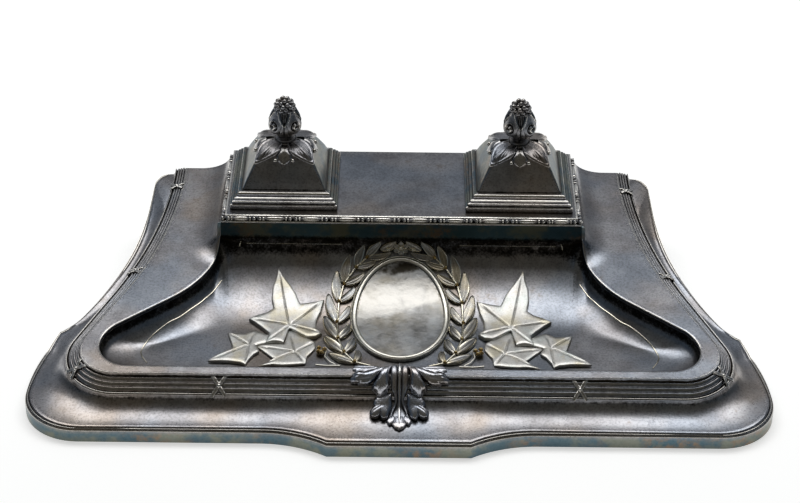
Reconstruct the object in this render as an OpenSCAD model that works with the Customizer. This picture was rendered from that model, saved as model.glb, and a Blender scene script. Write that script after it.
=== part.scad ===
// Desk inkstand: a plated metal body with a pen tray, two lidded ink wells and applied ornament.
// Millimetres. The origin is on the table, under the centre of the body. +X is right, -Y the front.

/* [Body] */
// Widest size of the body, across its two front ears
base_w = 360; // [350:1:372]
// Depth from the front of the centre tab to the rear face
base_d = 200; // [196:1:206]
// Height of the upright rim at the front
rim_h = 6; // [4.5:0.5:8]
// Height of the side rim at the rear
rim_rear_h = 33; // [31:0.5:34]
// Thickness of the cast metal of the body
wall = 1.6; // [1.2:0.1:2]
// Radius of the front corners in plan
corner_r = 28; // [24:1:32]
// Large radius behind each front corner
ear_r = 120; // [100:5:150]
// Radius of the hollow behind each ear
notch_r = 30; // [24:1:36]
// Distance between the side walls near the rear corners
rear_w = 264; // [260:1:268]
// Radius of the rear corners in plan
rear_r = 9; // [6:0.5:11]

/* [Centre tab] */
// Straight width of the tab at the front
tab_w = 68; // [56:1:80]
// How far the tab stands out from the front edge
tab_out = 9.3; // [7:0.1:11]
// Width of the curved step on each side of the tab
tab_sweep = 32; // [26:1:38]

/* [Reeded moulding and border] */
// Width of the sloping skirt in front of the moulding
skirt_w = 18; // [16:0.5:20]
// Width of the reeded moulding at the front
reed_w = 8.2; // [7.4:0.1:9]
// Width of the reeded moulding at the rear ends
reed_rear_w = 6; // [5.4:0.1:6.4]
// Height of the moulding's lower edge at the front
reed_low_z = 14; // [12.5:0.5:15.5]
// Height of the moulding's lower edge at the rear
reed_low_rear_z = 35.2; // [34.6:0.1:35.6]
// Distance between the mouldings at the rear face
reed_rear_span = 231.2; // [228:0.2:234]
// Height of the flat border at the front
border_z = 22; // [21:0.5:24]
// Height of the border at the rear face
border_rear_z = 36.6; // [36.2:0.1:37.4]
// Width of the flat border in front of the pen tray
border_w = 5.2; // [4:0.1:6.5]
// Width of the flat border at the ends of the pen tray
border_end_w = 8.6; // [7.6:0.1:9.6]

/* [Pen tray] */
// Height of the tray's floor
tray_z = 12; // [10:0.5:13]
// Run of the curved front wall of the tray
tray_front_run = 12; // [10:0.5:13]
// Run of the curved back wall of the tray
tray_back_run = 48; // [44:1:50]
// Slope at which the back wall starts to curve more tightly, in degrees
tray_bend = 30; // [24:1:34]
// Radius of the front corners of the tray
tray_corner_r = 15; // [13:0.5:16]
// Radius of the rounded tray ends behind those corners
tray_end_r = 20; // [18:0.5:22]

/* [Platform] */
// Width of the raised platform behind the tray
deck_w = 184; // [181:0.5:186]
// Depth of the platform
deck_d = 67; // [66:0.5:68]
// Height of the platform's top
deck_z = 48; // [47:0.5:50]
// Thickness of the platform's top plate
deck_t = 2; // [1.4:0.1:2.4]
// Height and width of the bead and reel moulding round the platform
bead_h = 3.3; // [3:0.1:3.6]
// Height of the upright face under that moulding
fascia_h = 8.7; // [7.5:0.1:10]
// Radius of the hollow sweep from the wings up to the platform
sweep_r = 16; // [14:0.5:18]
// Pairs of beads along the front of the moulding, without the corners
bead_groups = 9; // [7:2:11]

/* [Ink wells] */
// Width of the square opening in the platform for each well
well_open = 46; // [44:0.5:46.5]
// Thickness of the sheet metal of the well boxes
box_t = 0.8; // [0.6:0.1:1]
// Height of the underside of the well boxes
box_z = 6; // [5.6:0.2:7.4]
// Gap between a glass well and its box
glass_gap = 0.3; // [0.2:0.05:0.4]
// Height of the flange on which each glass well hangs
flange_t = 2; // [1.6:0.1:2.4]
// Diameter of the round hollow in each glass well
ink_d = 34; // [30:0.5:36]
// Thickness of the glass under the hollow
ink_floor = 5; // [4:0.5:7]

/* [Lids] */
// Width of each square lid at its foot
lid_w = 55; // [54:0.2:55.6]
// Distance from the ends of the platform to the lids
lid_side = 4.3; // [3.6:0.1:5.5]
// Distance from the front of the platform to the front of the lids
lid_front = 7.3; // [6.6:0.1:7.5]
// Height of the stepped frame of the lid
lid_frame_h = 7.8; // [7:0.2:8.6]
// Width of the lip at the top of the frame
lid_lip_w = 44; // [43:0.5:45]
// Height of the lid without its finial
lid_h = 26; // [24:0.5:28]
// Thickness of the lid's metal
lid_wall = 1.8; // [1.4:0.1:2]
// Gap between a closed lid and the platform
lid_gap = 0.25; // [0.2:0.05:0.35]

/* [Finials] */
// Height of a finial above its lid
finial_h = 25; // [22:0.5:28]
// Largest diameter of the finial's bud
bud_d = 16.4; // [14:0.2:18]
// Diameter of the stud through the lid
stud_d = 4; // [3:0.2:4.6]
// Clearance round the stud
stud_gap = 0.15; // [0.1:0.05:0.25]
// Width across the sides of the square nut
nut_w = 9; // [8:0.2:10]

/* [Hinges] */
// Diameter of the hinge barrels
barrel_d = 3.6; // [3.2:0.1:3.8]
// Diameter of the hinge pins
pin_d = 1.8; // [1.4:0.1:2]
// Running clearance round the pins, on the radius
pin_gap = 0.05; // [0.03:0.01:0.08]
// Length of one knuckle
knuckle_l = 9; // [7:0.5:11]
// Gap between neighbouring knuckles
knuckle_gap = 0.3; // [0.2:0.05:0.5]

/* [Medallion and leaves] */
// Width of the oval medallion over its frame
medal_w = 50.4; // [47:0.2:52]
// Width of the medallion's frame
medal_rim = 3.4; // [2.6:0.1:4]
// Distance along the tray from the start of its floor to the medallion
medal_front = 6.5; // [5.5:0.5:8]
// Distance along the tray from the medallion to the foot of the upright face
medal_back = 9.2; // [8.6:0.2:11]
// Distance along the tray from the ivy to the foot of the upright face
ivy_back = 16.7; // [14:0.5:20]
// Distance from the ends of the tray's floor to the ivy
ivy_side = 29.4; // [28:0.2:34]
// Gap between the wreath and the ivy with its berries
ivy_gap = 0.5; // [0.3:0.1:1.5]
// Solder gap under the applied ornament
solder = 0.3; // [0.2:0.05:0.4]
// Pairs of leaves in each wreath branch
laurel_pairs = 7; // [6:1:8]
// Length of one laurel leaf
laurel_l = 14.5; // [12:0.5:15.5]

/* [Underside] */
// Thickness of the base board
board_t = 3.2; // [2.4:0.1:4]
// Thickness of the felt under it
felt_t = 1; // [0.6:0.1:1.4]
// Clearance round the board
board_gap = 0.4; // [0.2:0.1:0.8]

/* [Hidden] */
$fn = 48;
touch = 0.05;
rear_y = base_d / 2;
front_y = -base_d / 2;

// Solves two unknowns from a*x + b*y = e and c*x + d*y = f
function solve2(a, b, c, d, e, f) = [(e * d - b * f) / (a * d - b * c), (a * f - e * c) / (a * d - b * c)];
function mix(a, b, t) = a + (b - a) * t;
function clamp01(t) = max(0, min(1, t));

// A path starts at p with heading h and follows segments [length, turn, steps, jump]
function seg_points(p, h, s) = [for (k = [1:s[2]]) let (t = k / s[2], a = s[1] * t)
    s[1] == 0 ? [p.x + s[0] * t * cos(h), p.y + s[0] * t * sin(h), h]
    : let (r = s[0] / (s[1] * PI / 180))
        [p.x + r * (sin(h + a) - sin(h)), p.y - r * (cos(h + a) - cos(h)), h + a]];
function walk(p, h, segs, i = 0) = i >= len(segs) ? []
    : let (j = segs[i][3] == undef ? 0 : segs[i][3], q = seg_points(p, h + j, segs[i]), e = q[len(q) - 1])
        concat(q, walk([e.x, e.y], e[2], segs, i + 1));
function bend(r, turn, steps, jump = 0) = [abs(r * turn * PI / 180), turn, steps, jump];
function out(q) = [sin(q[2]), -cos(q[2])];

// Stations per stretch: front, corner, ear, notch and side, rear corner
n_front = 7;
n_corner = 6;
n_ear = 4;
n_side = 11;
n_rear = 4;
n_half = n_front + n_corner + n_ear + n_side + n_rear;
n_sweep = n_ear + 7;

// Outline of the body in plan, right half, from the front centre to the rear
tab_r = (tab_sweep * tab_sweep + tab_out * tab_out) / (2 * tab_out);
tab_a = asin(tab_sweep / tab_r);
ear_a = 23.6;
notch_a = 60;
side_a = 33;
side_end_a = 4;
edge_y = front_y + tab_out;
ear_end = [base_w / 2 - ear_r * (1 - cos(ear_a)), edge_y + corner_r + ear_r * sin(ear_a)];
notch_end = ear_end + notch_r * [cos(notch_a) - cos(side_a), sin(notch_a) - sin(side_a)];
side_fit = solve2(cos(side_end_a) - cos(side_a), sin(side_end_a), sin(side_a) - sin(side_end_a),
    cos(side_end_a), notch_end.x - rear_w / 2, rear_y - rear_r - notch_end.y);
outline = concat([[0, front_y, 0]], walk([0, front_y], 0, [
    [tab_w / 2, 0, 1],
    bend(tab_r, -tab_a, 5, tab_a),
    [base_w / 2 - corner_r - tab_w / 2 - tab_sweep, 0, 1],
    bend(corner_r, 90, n_corner),
    bend(ear_r, ear_a, n_ear),
    bend(notch_r, side_a - notch_a, 3, notch_a - ear_a),
    bend(side_fit[0], side_end_a - side_a, n_side - 4),
    [side_fit[1], 0, 1],
    bend(rear_r, 90 - side_end_a, n_rear)]));

// Inner line of the reeded moulding
spine_r1 = 18;
spine_r2 = 20;
spine_a = 24;
spine_end_a = 0;
spine_x = base_w / 2 - skirt_w - reed_w + 0.2;
spine_y = edge_y + skirt_w + reed_w - 0.2;
spine_e2 = [spine_x - spine_r2 * (1 - cos(spine_a)), spine_y + spine_r1 + spine_r2 * sin(spine_a)];
spine_fit = solve2(sin(spine_a), cos(spine_end_a) - cos(spine_a), cos(spine_a),
    sin(spine_a) - sin(spine_end_a), spine_e2.x - reed_rear_span / 2, rear_y - spine_e2.y);
front_share = [for (i = [0:n_front]) outline[i].x / outline[n_front].x];
spine = concat([for (t = front_share) [t * (spine_x - spine_r1), spine_y, 0]],
    walk([spine_x - spine_r1, spine_y], 0, [
        bend(spine_r1, 90, n_corner),
        bend(spine_r2, spine_a, n_ear),
        [spine_fit[0], 0, 1],
        bend(spine_fit[1], spine_end_a - spine_a, n_side + n_rear - 1)]));
lip = [for (i = [0:n_half]) let (t = clamp01((i - n_half + n_side + n_rear) / (n_side + n_rear)),
    v = out(spine[i]) * mix(reed_w, reed_rear_w, t)) [spine[i].x + v.x, min(spine[i].y + v.y, rear_y)]];

// Edge of the pen tray, then the platform's corner
tray_x = spine_x - border_end_w;
tray_y = spine_y + border_w;
deck_y = rear_y - deck_d;
tray_a = 50;
sweep_end_a = 6;
tray_fit = solve2(sin(tray_a), cos(sweep_end_a) - cos(tray_a), cos(tray_a), sin(tray_a) - sin(sweep_end_a),
    tray_x - tray_end_r * (1 - cos(tray_a)) - deck_w / 2,
    deck_y - tray_y - tray_corner_r - tray_end_r * sin(tray_a));
tray_edge = concat([for (t = front_share) [t * (tray_x - tray_corner_r), tray_y, 0]],
    walk([tray_x - tray_corner_r, tray_y], 0, [
        bend(tray_corner_r, 90, n_corner),
        bend(tray_end_r, tray_a, n_ear),
        [tray_fit[0], 0, 2],
        bend(tray_fit[1], sweep_end_a - tray_a, 5)]));
n_edge = len(tray_edge) - 1;
n_beside = n_half - n_edge;
// Inner edge of the border plate: the tray's edge, then the side of the platform
plate_edge = concat(tray_edge, [for (k = [1:n_beside]) [deck_w / 2, mix(deck_y, rear_y, k / n_beside), 90]]);

// Heights of the surfaces
lip_slope = (reed_low_rear_z - reed_low_z) / (rear_y - spine_y + reed_w);
border_slope = (border_rear_z - border_z) / (rear_y - spine_y);
rim_start_y = -27;
moulding_z = deck_z - bead_h;
function lip_height(y) = reed_low_z + lip_slope * (y - spine_y + reed_w);
function rim_height(y) = rim_h + (rim_rear_h - rim_h) * clamp01((y - rim_start_y) / (rear_y - rim_start_y));
function border_height(y) = border_z + border_slope * (y - spine_y);
function wing_height(x, y) = let (u = norm([max(x - deck_w / 2, 0), max(deck_y - y, 0)]),
    s = clamp01(1 - u / sweep_r), b = border_height(y))
    b + (moulding_z - b) * (1 - sqrt(1 - s * s));

// Strip solid through right-half sections, mirrored to run from rear to rear
function flip(s) = [for (p = s) [-p.x, p.y, p.z]];
function mirrored(sections) = let (n = len(sections))
    concat([for (i = [n - 1:-1:1]) flip(sections[i])], sections);
function side_faces(m, n, loop = false) = [for (i = [0:n - (loop ? 1 : 2)], j = [0:m - 1])
    let (a = i * m, b = ((i + 1) % n) * m, k = (j + 1) % m)
    each [[a + j, a + k, b + k], [a + j, b + k, b + j]]];
function flat(lists) = [for (l = lists) each l];
module strip(sections) {
    m = len(sections[0]);
    n = len(sections);
    ends = [[for (j = [m - 1:-1:0]) j], [for (j = [0:m - 1]) (n - 1) * m + j]];
    polyhedron(flat(sections), concat(side_faces(m, n), ends));
}
module ring(sections) {
    polyhedron(flat(sections), side_faces(len(sections[0]), len(sections), true));
}

// Skirt: upright rim, bead and groove, then a hollow curve up to the reeded moulding
bead_run = 3;
bead_profile = [[0, 0], [0.25, 1.3], [1.2, 1.6], [1.9, 1], [2.2, 0.5], [2.5, 1.4]];
sweep_steps = [0:22.5:90];
function skirt_section(i) = let (o = [outline[i].x, outline[i].y], l = lip[i], d = norm(l - o), n = (l - o) / d,
    zr = rim_height(o.y), zl = lip_height(l.y), k = min(1, d / 10), zb = zr + 1.5 * k, w = min(wall, d * 0.4),
    at = function (u, z) [o.x + n.x * u, o.y + n.y * u, z])
    concat([at(0, 0)], [for (b = bead_profile) at(b[0] * k, zr + b[1] * k)],
        [for (a = sweep_steps) at(mix(bead_run * k, d, sin(a)), mix(zb, zl, 1 - cos(a)))],
        [for (a = [90:-45:0]) at(mix(bead_run * k, d, sin(a)), mix(zb, zl, 1 - cos(a)) - wall)],
        [at(w, zr - 0.6), at(w, 0)]);
module base_skirt() {
    color("dimgray") strip(mirrored([for (i = [0:n_half]) skirt_section(i)]));
}

// Reeded moulding: a lip, three round reeds and the step under the border, as [across, rise, bump]
reed_count = 3;
reed_bump = 0.8;
reed_first = 0.2;
reed_last = 0.86;
function reed_profile() = let (w = (reed_last - reed_first) / reed_count)
    concat([[0, 0, 0], [0.01, 0.02, 0.8], [0.1, 0.06, 0.9], [0.14, 0.08, 0]],
        [for (k = [0:reed_count - 1], t = [0.05, 0.3, 0.7, 0.95])
            [reed_first + w * (k + t), mix(0.1, 0.72, (k + t) / reed_count), t == 0.3 || t == 0.7 ? reed_bump : 0]],
        [[reed_last + 0.02, 0.74, 0], [reed_last + 0.04, 1, 0], [1, 1, 0]]);
function reed_section(i) = let (l = lip[i], s = [spine[i].x, spine[i].y], zl = lip_height(l.y),
    zs = border_height(s.y), at = function (t, z) [mix(l.x, s.x, t), mix(l.y, s.y, t), z])
    concat([for (p = reed_profile()) at(p[0], mix(zl, zs, p[1]) + p[2])],
        [at(1, zs - wall), at(0.86, mix(zl, zs, 0.72) - wall), at(0, zl - wall)]);
module reed_moulding() {
    color("dimgray") strip(mirrored([for (i = [0:n_half]) reed_section(i)]));
}

// Border plate: the flat border in front of the tray and both wings, swept up to the platform
plate_cols = 8;
function plate_point(i, t) = let (s = spine[i], e = plate_edge[i], v = out(e) * wall,
    x = mix(s.x, e.x + v.x, t), y = min(mix(s.y, e.y + v.y, t), rear_y)) [x, y, wing_height(x, y)];
function plate_section(i) = let (e = plate_edge[i],
    top = concat([for (c = [0:plate_cols]) plate_point(i, 1 - pow(1 - c / plate_cols, 1.5))],
        [[e.x, e.y, wing_height(e.x, e.y)]]), n = len(top))
    concat(top, [for (j = [n - 1:-1:0]) top[j] - [0, 0, wall]]);
module border_plate() {
    color("dimgray") strip(mirrored([for (i = [0:n_half]) plate_section(i)]));
}

// Pen tray: walls of two arcs from the edge down to a flat floor
fascia_z = moulding_z - fascia_h;
back_fit = solve2(sin(tray_bend), 1 - sin(tray_bend), 1 - cos(tray_bend), cos(tray_bend),
    tray_back_run, fascia_z - tray_z);
wall_angles = [90, 78, 66, 54, 42, 30, 24, 18, 12, 6, 0];
// Run and rise of the back wall up to slope a, both as shares of the whole wall
function wall_run(a) = (a <= tray_bend ? back_fit[0] * sin(a)
    : back_fit[0] * sin(tray_bend) + back_fit[1] * (sin(a) - sin(tray_bend))) / tray_back_run;
function wall_rise(a) = (a <= tray_bend ? back_fit[0] * (1 - cos(a))
    : back_fit[0] * (1 - cos(tray_bend)) + back_fit[1] * (cos(tray_bend) - cos(a))) / (fascia_z - tray_z);
floor_y = tray_y + tray_front_run;
floor_back_y = deck_y - tray_back_run;
floor_x = tray_x - 21;
floor_r1 = 10;
floor_r2 = 12;
floor_r3 = 30;
floor_a = 65;
floor_run = (floor_back_y - floor_y - floor_r1 - floor_r2 * sin(floor_a)
    - floor_r3 * (1 - cos(90 - floor_a))) / cos(floor_a);
floor_half = concat([for (t = front_share) [t * (floor_x - floor_r1), floor_y, 0]],
    walk([floor_x - floor_r1, floor_y], 0, [
        bend(floor_r1, 90, n_corner),
        bend(floor_r2, floor_a, n_ear),
        [floor_run, 0, 3],
        bend(floor_r3, 90 - floor_a, 4)]));
back_share = [0.988, 0.86, 0.7, 0.5, 0.25, 0];
back_edge = [for (t = back_share) [t * deck_w / 2, deck_y, 180]];
back_floor = [for (t = back_share) [t * floor_half[n_edge].x, floor_back_y, 180]];
tray_top = concat(tray_edge, back_edge);
tray_floor = concat(floor_half, back_floor);
function tray_section(i) = let (e = tray_top[i], f = tray_floor[i], v = out(e) * wall,
    zt = i > n_edge ? moulding_z : wing_height(e.x, e.y) - wall - touch, zk = min(fascia_z, zt - wall),
    at = function (a) [mix(f.x, e.x, wall_run(a)), mix(f.y, e.y, wall_run(a)), mix(tray_z, zk, wall_rise(a))],
    under = function (a) at(a) + [v.x * sin(a), v.y * sin(a), -wall * cos(a)])
    concat([for (k = [len(wall_angles) - 1:-1:0]) at(wall_angles[k])], [[e.x, e.y, zt],
            [e.x + v.x, e.y + v.y, i > n_edge ? zt : wing_height(e.x + v.x, e.y + v.y) - wall - touch]],
        [for (a = wall_angles) under(a)]);
module pen_tray() {
    half = [for (i = [0:len(tray_top) - 1]) tray_section(i)];
    n = len(half);
    loop = concat(half, [for (i = [n - 2:-1:1]) flip(half[i])]);
    m = len(half[0]);
    k = len(loop);
    walls = [for (i = [0:k - 1], j = [0:m - 2]) let (a = i * m, b = ((i + 1) % k) * m)
        each [[a + j, a + j + 1, b + j + 1], [a + j, b + j + 1, b + j]]];
    mid_y = (floor_y + floor_back_y) / 2;
    mids = [[0, mid_y, tray_z], [0, mid_y, tray_z - wall]];
    floors = [for (i = [0:k - 1]) let (a = i * m, b = ((i + 1) % k) * m)
        each [[k * m, a, b], [k * m + 1, b + m - 1, a + m - 1]]];
    color("gray") polyhedron(concat(flat(loop), mids), concat(walls, floors));
}

// A point x across and s along the tray from the start of its floor, h above the surface
floor_l = floor_back_y - floor_y;
bend_l = back_fit[0] * tray_bend * PI / 180;
tray_l = floor_l + bend_l + back_fit[1] * (90 - tray_bend) * PI / 180;
function on_tray(x, s, h) = let (a = s < floor_l ? 0
    : min(90, s < floor_l + bend_l ? (s - floor_l) / back_fit[0] * 180 / PI
        : tray_bend + (s - floor_l - bend_l) / back_fit[1] * 180 / PI),
    y = s < floor_l ? floor_y + s : floor_back_y + tray_back_run * wall_run(a),
    z = tray_z + (fascia_z - tray_z) * wall_rise(a))
    [x, y - h * sin(a), z + h * cos(a)];

// A leaf on the tray: its outline points [x, s], its middle, and its heights
module tray_leaf(points, mid, low, edge, top) {
    n = len(points);
    lower = [for (p = points) on_tray(p.x, p.y, low)];
    upper = [for (p = points) on_tray(p.x, p.y, edge)];
    all = concat(lower, upper, [on_tray(mid.x, mid.y, low), on_tray(mid.x, mid.y, top)]);
    polyhedron(all, [for (i = [0:n - 1]) let (j = (i + 1) % n)
        each [[2 * n, i, j], [i, n + i, n + j], [i, n + j, j], [2 * n + 1, n + j, n + i]]]);
}

// Oval medallion on the tray: a frame of two fillets and a plain plaque
oval_steps = 40;
medal_l = tray_l - medal_front - medal_back;
medal_s = medal_front + medal_l / 2;
function on_oval(w, l, a, h) = on_tray(w / 2 * sin(a), medal_s - l / 2 * cos(a), h);
frame_profile = [[0, 0], [0.1, 1.7], [0.9, 2.2], [1.7, 1.5], [2.3, 1.9], [3.4, 0.9], [3.4, 0]];
module medallion_frame() {
    k = medal_rim / frame_profile[len(frame_profile) - 1][0];
    color("silver") ring([for (i = [0:oval_steps - 1]) let (a = i * 360 / oval_steps)
        [for (p = frame_profile) on_oval(medal_w - 2 * p[0] * k, medal_l - 2 * p[0] * k, a, solder + p[1])]]);
}
plaque_rings = [1, 0.75, 0.5, 0.25];
plaque_t = 0.8;
module medallion_plaque() {
    w = medal_w - 2 * medal_rim - 2 * touch;
    l = medal_l - 2 * medal_rim - 2 * touch;
    n = oval_steps;
    layer = function (h) [for (t = plaque_rings, i = [0:n - 1]) on_oval(w * t, l * t, i * 360 / n, h)];
    r = len(plaque_rings);
    low = layer(solder);
    high = layer(solder + plaque_t);
    mids = [on_oval(0, 0, 0, solder), on_oval(0, 0, 0, solder + plaque_t)];
    b = r * n;
    sheets = [for (q = [0:r - 2], i = [0:n - 1]) let (j = (i + 1) % n, c = q * n, d = c + n)
        each [[c + i, d + i, d + j], [c + i, d + j, c + j],
            [b + c + i, b + d + j, b + d + i], [b + c + i, b + c + j, b + d + j]]];
    caps = [for (i = [0:n - 1]) let (j = (i + 1) % n, c = (r - 1) * n)
        each [[c + i, 2 * b, c + j], [b + c + j, 2 * b + 1, b + c + i],
            [i, j, b + j], [i, b + j, b + i]]];
    color("lightgray") polyhedron(concat(low, high, mids), concat(sheets, caps));
}

// Laurel wreath: leaves in pairs along an oval stem round the medallion
stem_out = 6.2;
stem_w = 1.6;
stem_t = 1.1;
laurel_w = 5.4;
laurel_spread = 24;
branch_a = [24, 158];
branch_w = medal_w + 2 * stem_out;
branch_l = medal_l + 2 * stem_out;
function branch(a) = [branch_w / 2 * sin(a), medal_s - branch_l / 2 * cos(a)];
laurel_shape = [[0, 0], [0.3, -0.42], [0.62, -0.44], [1, 0], [0.62, 0.44], [0.3, 0.42]];
module laurel_leaf(base, heading, l) {
    points = [for (q = laurel_shape) [base.x + l * q[0] * cos(heading) - laurel_w * q[1] * sin(heading),
        base.y + l * q[0] * sin(heading) + laurel_w * q[1] * cos(heading)]];
    mid = [base.x + l * 0.45 * cos(heading), base.y + l * 0.45 * sin(heading)];
    tray_leaf(points, mid, solder, solder + 0.7, solder + 1.7);
}
module wreath_half() {
    steps = 2 * laurel_pairs;
    ring_a = [for (i = [0:steps]) mix(branch_a[0], branch_a[1], i / steps)];
    strip([for (a = ring_a) let (p = branch(a), q = branch(a + 1), t = (q - p) / norm(q - p) * stem_w / 2)
        [on_tray(p.x - t.y, p.y + t.x, solder), on_tray(p.x + t.y, p.y - t.x, solder),
            on_tray(p.x + t.y, p.y - t.x, solder + stem_t), on_tray(p.x - t.y, p.y + t.x, solder + stem_t)]]);
    for (k = [0:laurel_pairs - 1]) {
        a = mix(branch_a[0], branch_a[1], (k + 0.15) / laurel_pairs);
        p = branch(a);
        q = branch(a + 2);
        heading = atan2(q.y - p.y, q.x - p.x);
        l = laurel_l * (k == laurel_pairs - 1 ? 0.8 : 1);
        laurel_leaf(p, heading - laurel_spread, l);
        laurel_leaf(p, heading + laurel_spread, l * 0.8);
    }
}
module wreath_right() {
    color("silver") wreath_half();
}
module wreath_left() {
    color("silver") mirror([1, 0, 0]) wreath_half();
}
rosette_r = 4.2;
module wreath_rosette() {
    s = medal_s + branch_l / 2 - 1;
    p = on_tray(0, s, solder);
    q = on_tray(0, s, solder + 1);
    tilt = atan2(-(q.y - p.y), q.z - p.z);
    color("silver") translate(p) rotate([tilt, 0, 0]) {
        rotate_extrude() polygon([[0, 0], [rosette_r * 0.6, 0], [rosette_r, 0.5], [rosette_r - 0.8, 1.5], [0, 1.5]]);
        translate([0, 0, 1.5]) sphere(r = 1.4);
        for (k = [0:4]) rotate(72 * k + 90) translate([rosette_r * 0.6, 0, 1.3]) sphere(r = 1.1);
    }
}

// Ivy sprays: three leaves a side, by their tips and notches in [across, along the tray]
ivy_big = [[63, 74], [52.5, 54], [39.5, 55], [43, 38], [40, 28.5], [47, 27], [60, 20.5], [64.5, 29.5],
    [76.5, 40.5], [65, 49.5], [65.5, 58]];
ivy_small = [[86, 30], [79, 25.5], [73, 31], [74, 20], [72.5, 10], [76, 2.5], [84, 4.5], [95, 6], [82.5, 18]];
ivy_low = [[71, 18], [58, 17], [50, 20], [39, 21.5], [44, 12], [43, 4.5], [54, 6.5], [66, 4], [63, 11]];
// The spray is drawn between these lines and to this length, and set out from the wreath to the tray's end
ivy_lines = [31.9, 95];
ivy_drawn = 74;
ivy_start = branch_w / 2 + ivy_gap;
ivy_kx = (floor_x - ivy_side - ivy_start) / (ivy_lines[1] - ivy_lines[0]);
ivy_ks = (tray_l - ivy_back) / ivy_drawn;
function ivy_at(p) = [ivy_start + (p.x - ivy_lines[0]) * ivy_kx, p.y * ivy_ks];
module ivy_leaf(points, mid, edge, top) {
    tray_leaf([for (p = points) ivy_at(p)], ivy_at(mid), solder, solder + edge, solder + top);
}
module ivy_half() {
    ivy_leaf(ivy_low, [55, 12], 0.8, 1.6);
    ivy_leaf(ivy_small, [78, 17], 0.8, 2);
    ivy_leaf(ivy_big, [56, 37], 1, 2.6);
}
module ivy_right() {
    color("silver") ivy_half();
}
module ivy_left() {
    color("silver") mirror([1, 0, 0]) ivy_half();
}
berry_r = 1.5;
berry_places = [[36, 14], [35.6, 19.5], [33.4, 16.8]];
module ivy_berries() {
    color("gold") for (side = [-1, 1], b = berry_places) let (p = ivy_at(b))
        translate(on_tray(side * p.x, p.y, solder + berry_r)) sphere(r = berry_r, $fn = 24);
}

// Clasp leaf over the border, the reeds and the skirt, by half width and distance down the front
clasp_half = [[4, 0.5], [10, 2], [17, 4], [23.5, 8], [21, 12], [15.5, 13], [17, 17.5], [13.5, 21], [9.5, 19.5],
    [8.5, 25], [5, 26], [2.6, 30], [0, 34]];
clasp_t = 1.2;
clasp_rise = 2.2;
function front_surface(v) = let (b = border_w, r = norm([reed_w, border_z - reed_low_z]), w = v - b - r,
    d = skirt_w + tab_out, u = min(1, max(0, w) / (d - bead_run)), y = tray_y - b - reed_w,
    z0 = rim_h + 1.5, a = asin(1 - u))
    v < b ? [tray_y - v, border_z] : v < b + r ? [mix(tray_y - b, y, (v - b) / r), mix(border_z, reed_low_z, (v - b) / r)]
    : [y - u * (d - bead_run), mix(z0, reed_low_z, 1 - cos(a))];
function clasp_point(p, h) = let (q = front_surface(p.y), a = front_surface(p.y - 0.5), b = front_surface(p.y + 0.5),
    n = [-(b.y - a.y), b.x - a.x] / norm(b - a)) [p.x, q.x - h * n.x * sign(n.y) * -1, q.y + h * abs(n.y)];
module clasp_leaf() {
    lift = solder + reed_bump + 0.5;
    side = len(clasp_half);
    rows = [for (k = [0:side - 1]) let (p = clasp_half[k], low = lift, high = lift + clasp_t)
        [clasp_point([-p.x, p.y], low), clasp_point([p.x + 0.01, p.y], low),
            clasp_point([p.x + 0.01, p.y], high), clasp_point([0, p.y], high + clasp_rise * (1 - k / side)),
            clasp_point([-p.x, p.y], high)]];
    color("silver") strip(rows);
}

// Ribbon ties crossed over the reeds, by station along the moulding and share to the next station
tie_places = [[n_front - 1, 0.35], [n_front + 3, 0.9], [n_front + n_corner + n_ear + 3, 0.8],
    [n_half - n_rear + 1, 0.95]];
tie_w = 1.5;
tie_t = 0.7;
tie_cross = 32;
module ribbon_tie(i, t) {
    l = mix(lip[i], lip[i + 1], t);
    s = mix([spine[i].x, spine[i].y], [spine[i + 1].x, spine[i + 1].y], t);
    run = norm(s - l);
    rise = border_height(s.y) - lip_height(l.y);
    mid = (l + s) / 2;
    z = (lip_height(l.y) + border_height(s.y)) / 2;
    slope = atan2(rise * 0.72, run);
    lift = reed_bump + solder - rise * 0.09;
    translate([mid.x, mid.y, z]) rotate([0, 0, atan2(s.y - l.y, s.x - l.x)]) rotate([0, -slope, 0])
        translate([0, 0, lift + tie_t / 2 + 0.35]) {
            for (a = [-tie_cross, tie_cross]) rotate(a) cube([run * 1.05, tie_w, tie_t], center = true);
            translate([0, 0, -0.75]) cylinder(r1 = 1.35, r2 = 0.8, h = 1.85);
        }
}
module ribbon_ties() {
    color("silver") for (side = [0, 1], p = tie_places) mirror([side, 0, 0]) ribbon_tie(p[0], p[1]);
}

// Platform: top plate with two square openings
lid_y = deck_y + lid_front + lid_w / 2;
well_x = deck_w / 2 - lid_side - lid_w / 2;
deck_in = bead_h + touch;
module square_at(w) {
    square([w, w], center = true);
}
module deck_plate() {
    color("dimgray") translate([0, 0, deck_z - deck_t]) linear_extrude(deck_t) difference() {
        translate([-deck_w / 2 + deck_in, deck_y + deck_in]) square([deck_w - 2 * deck_in, deck_d - deck_in]);
        for (side = [-1, 1]) translate([side * well_x, lid_y]) square_at(well_open);
    }
}

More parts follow.
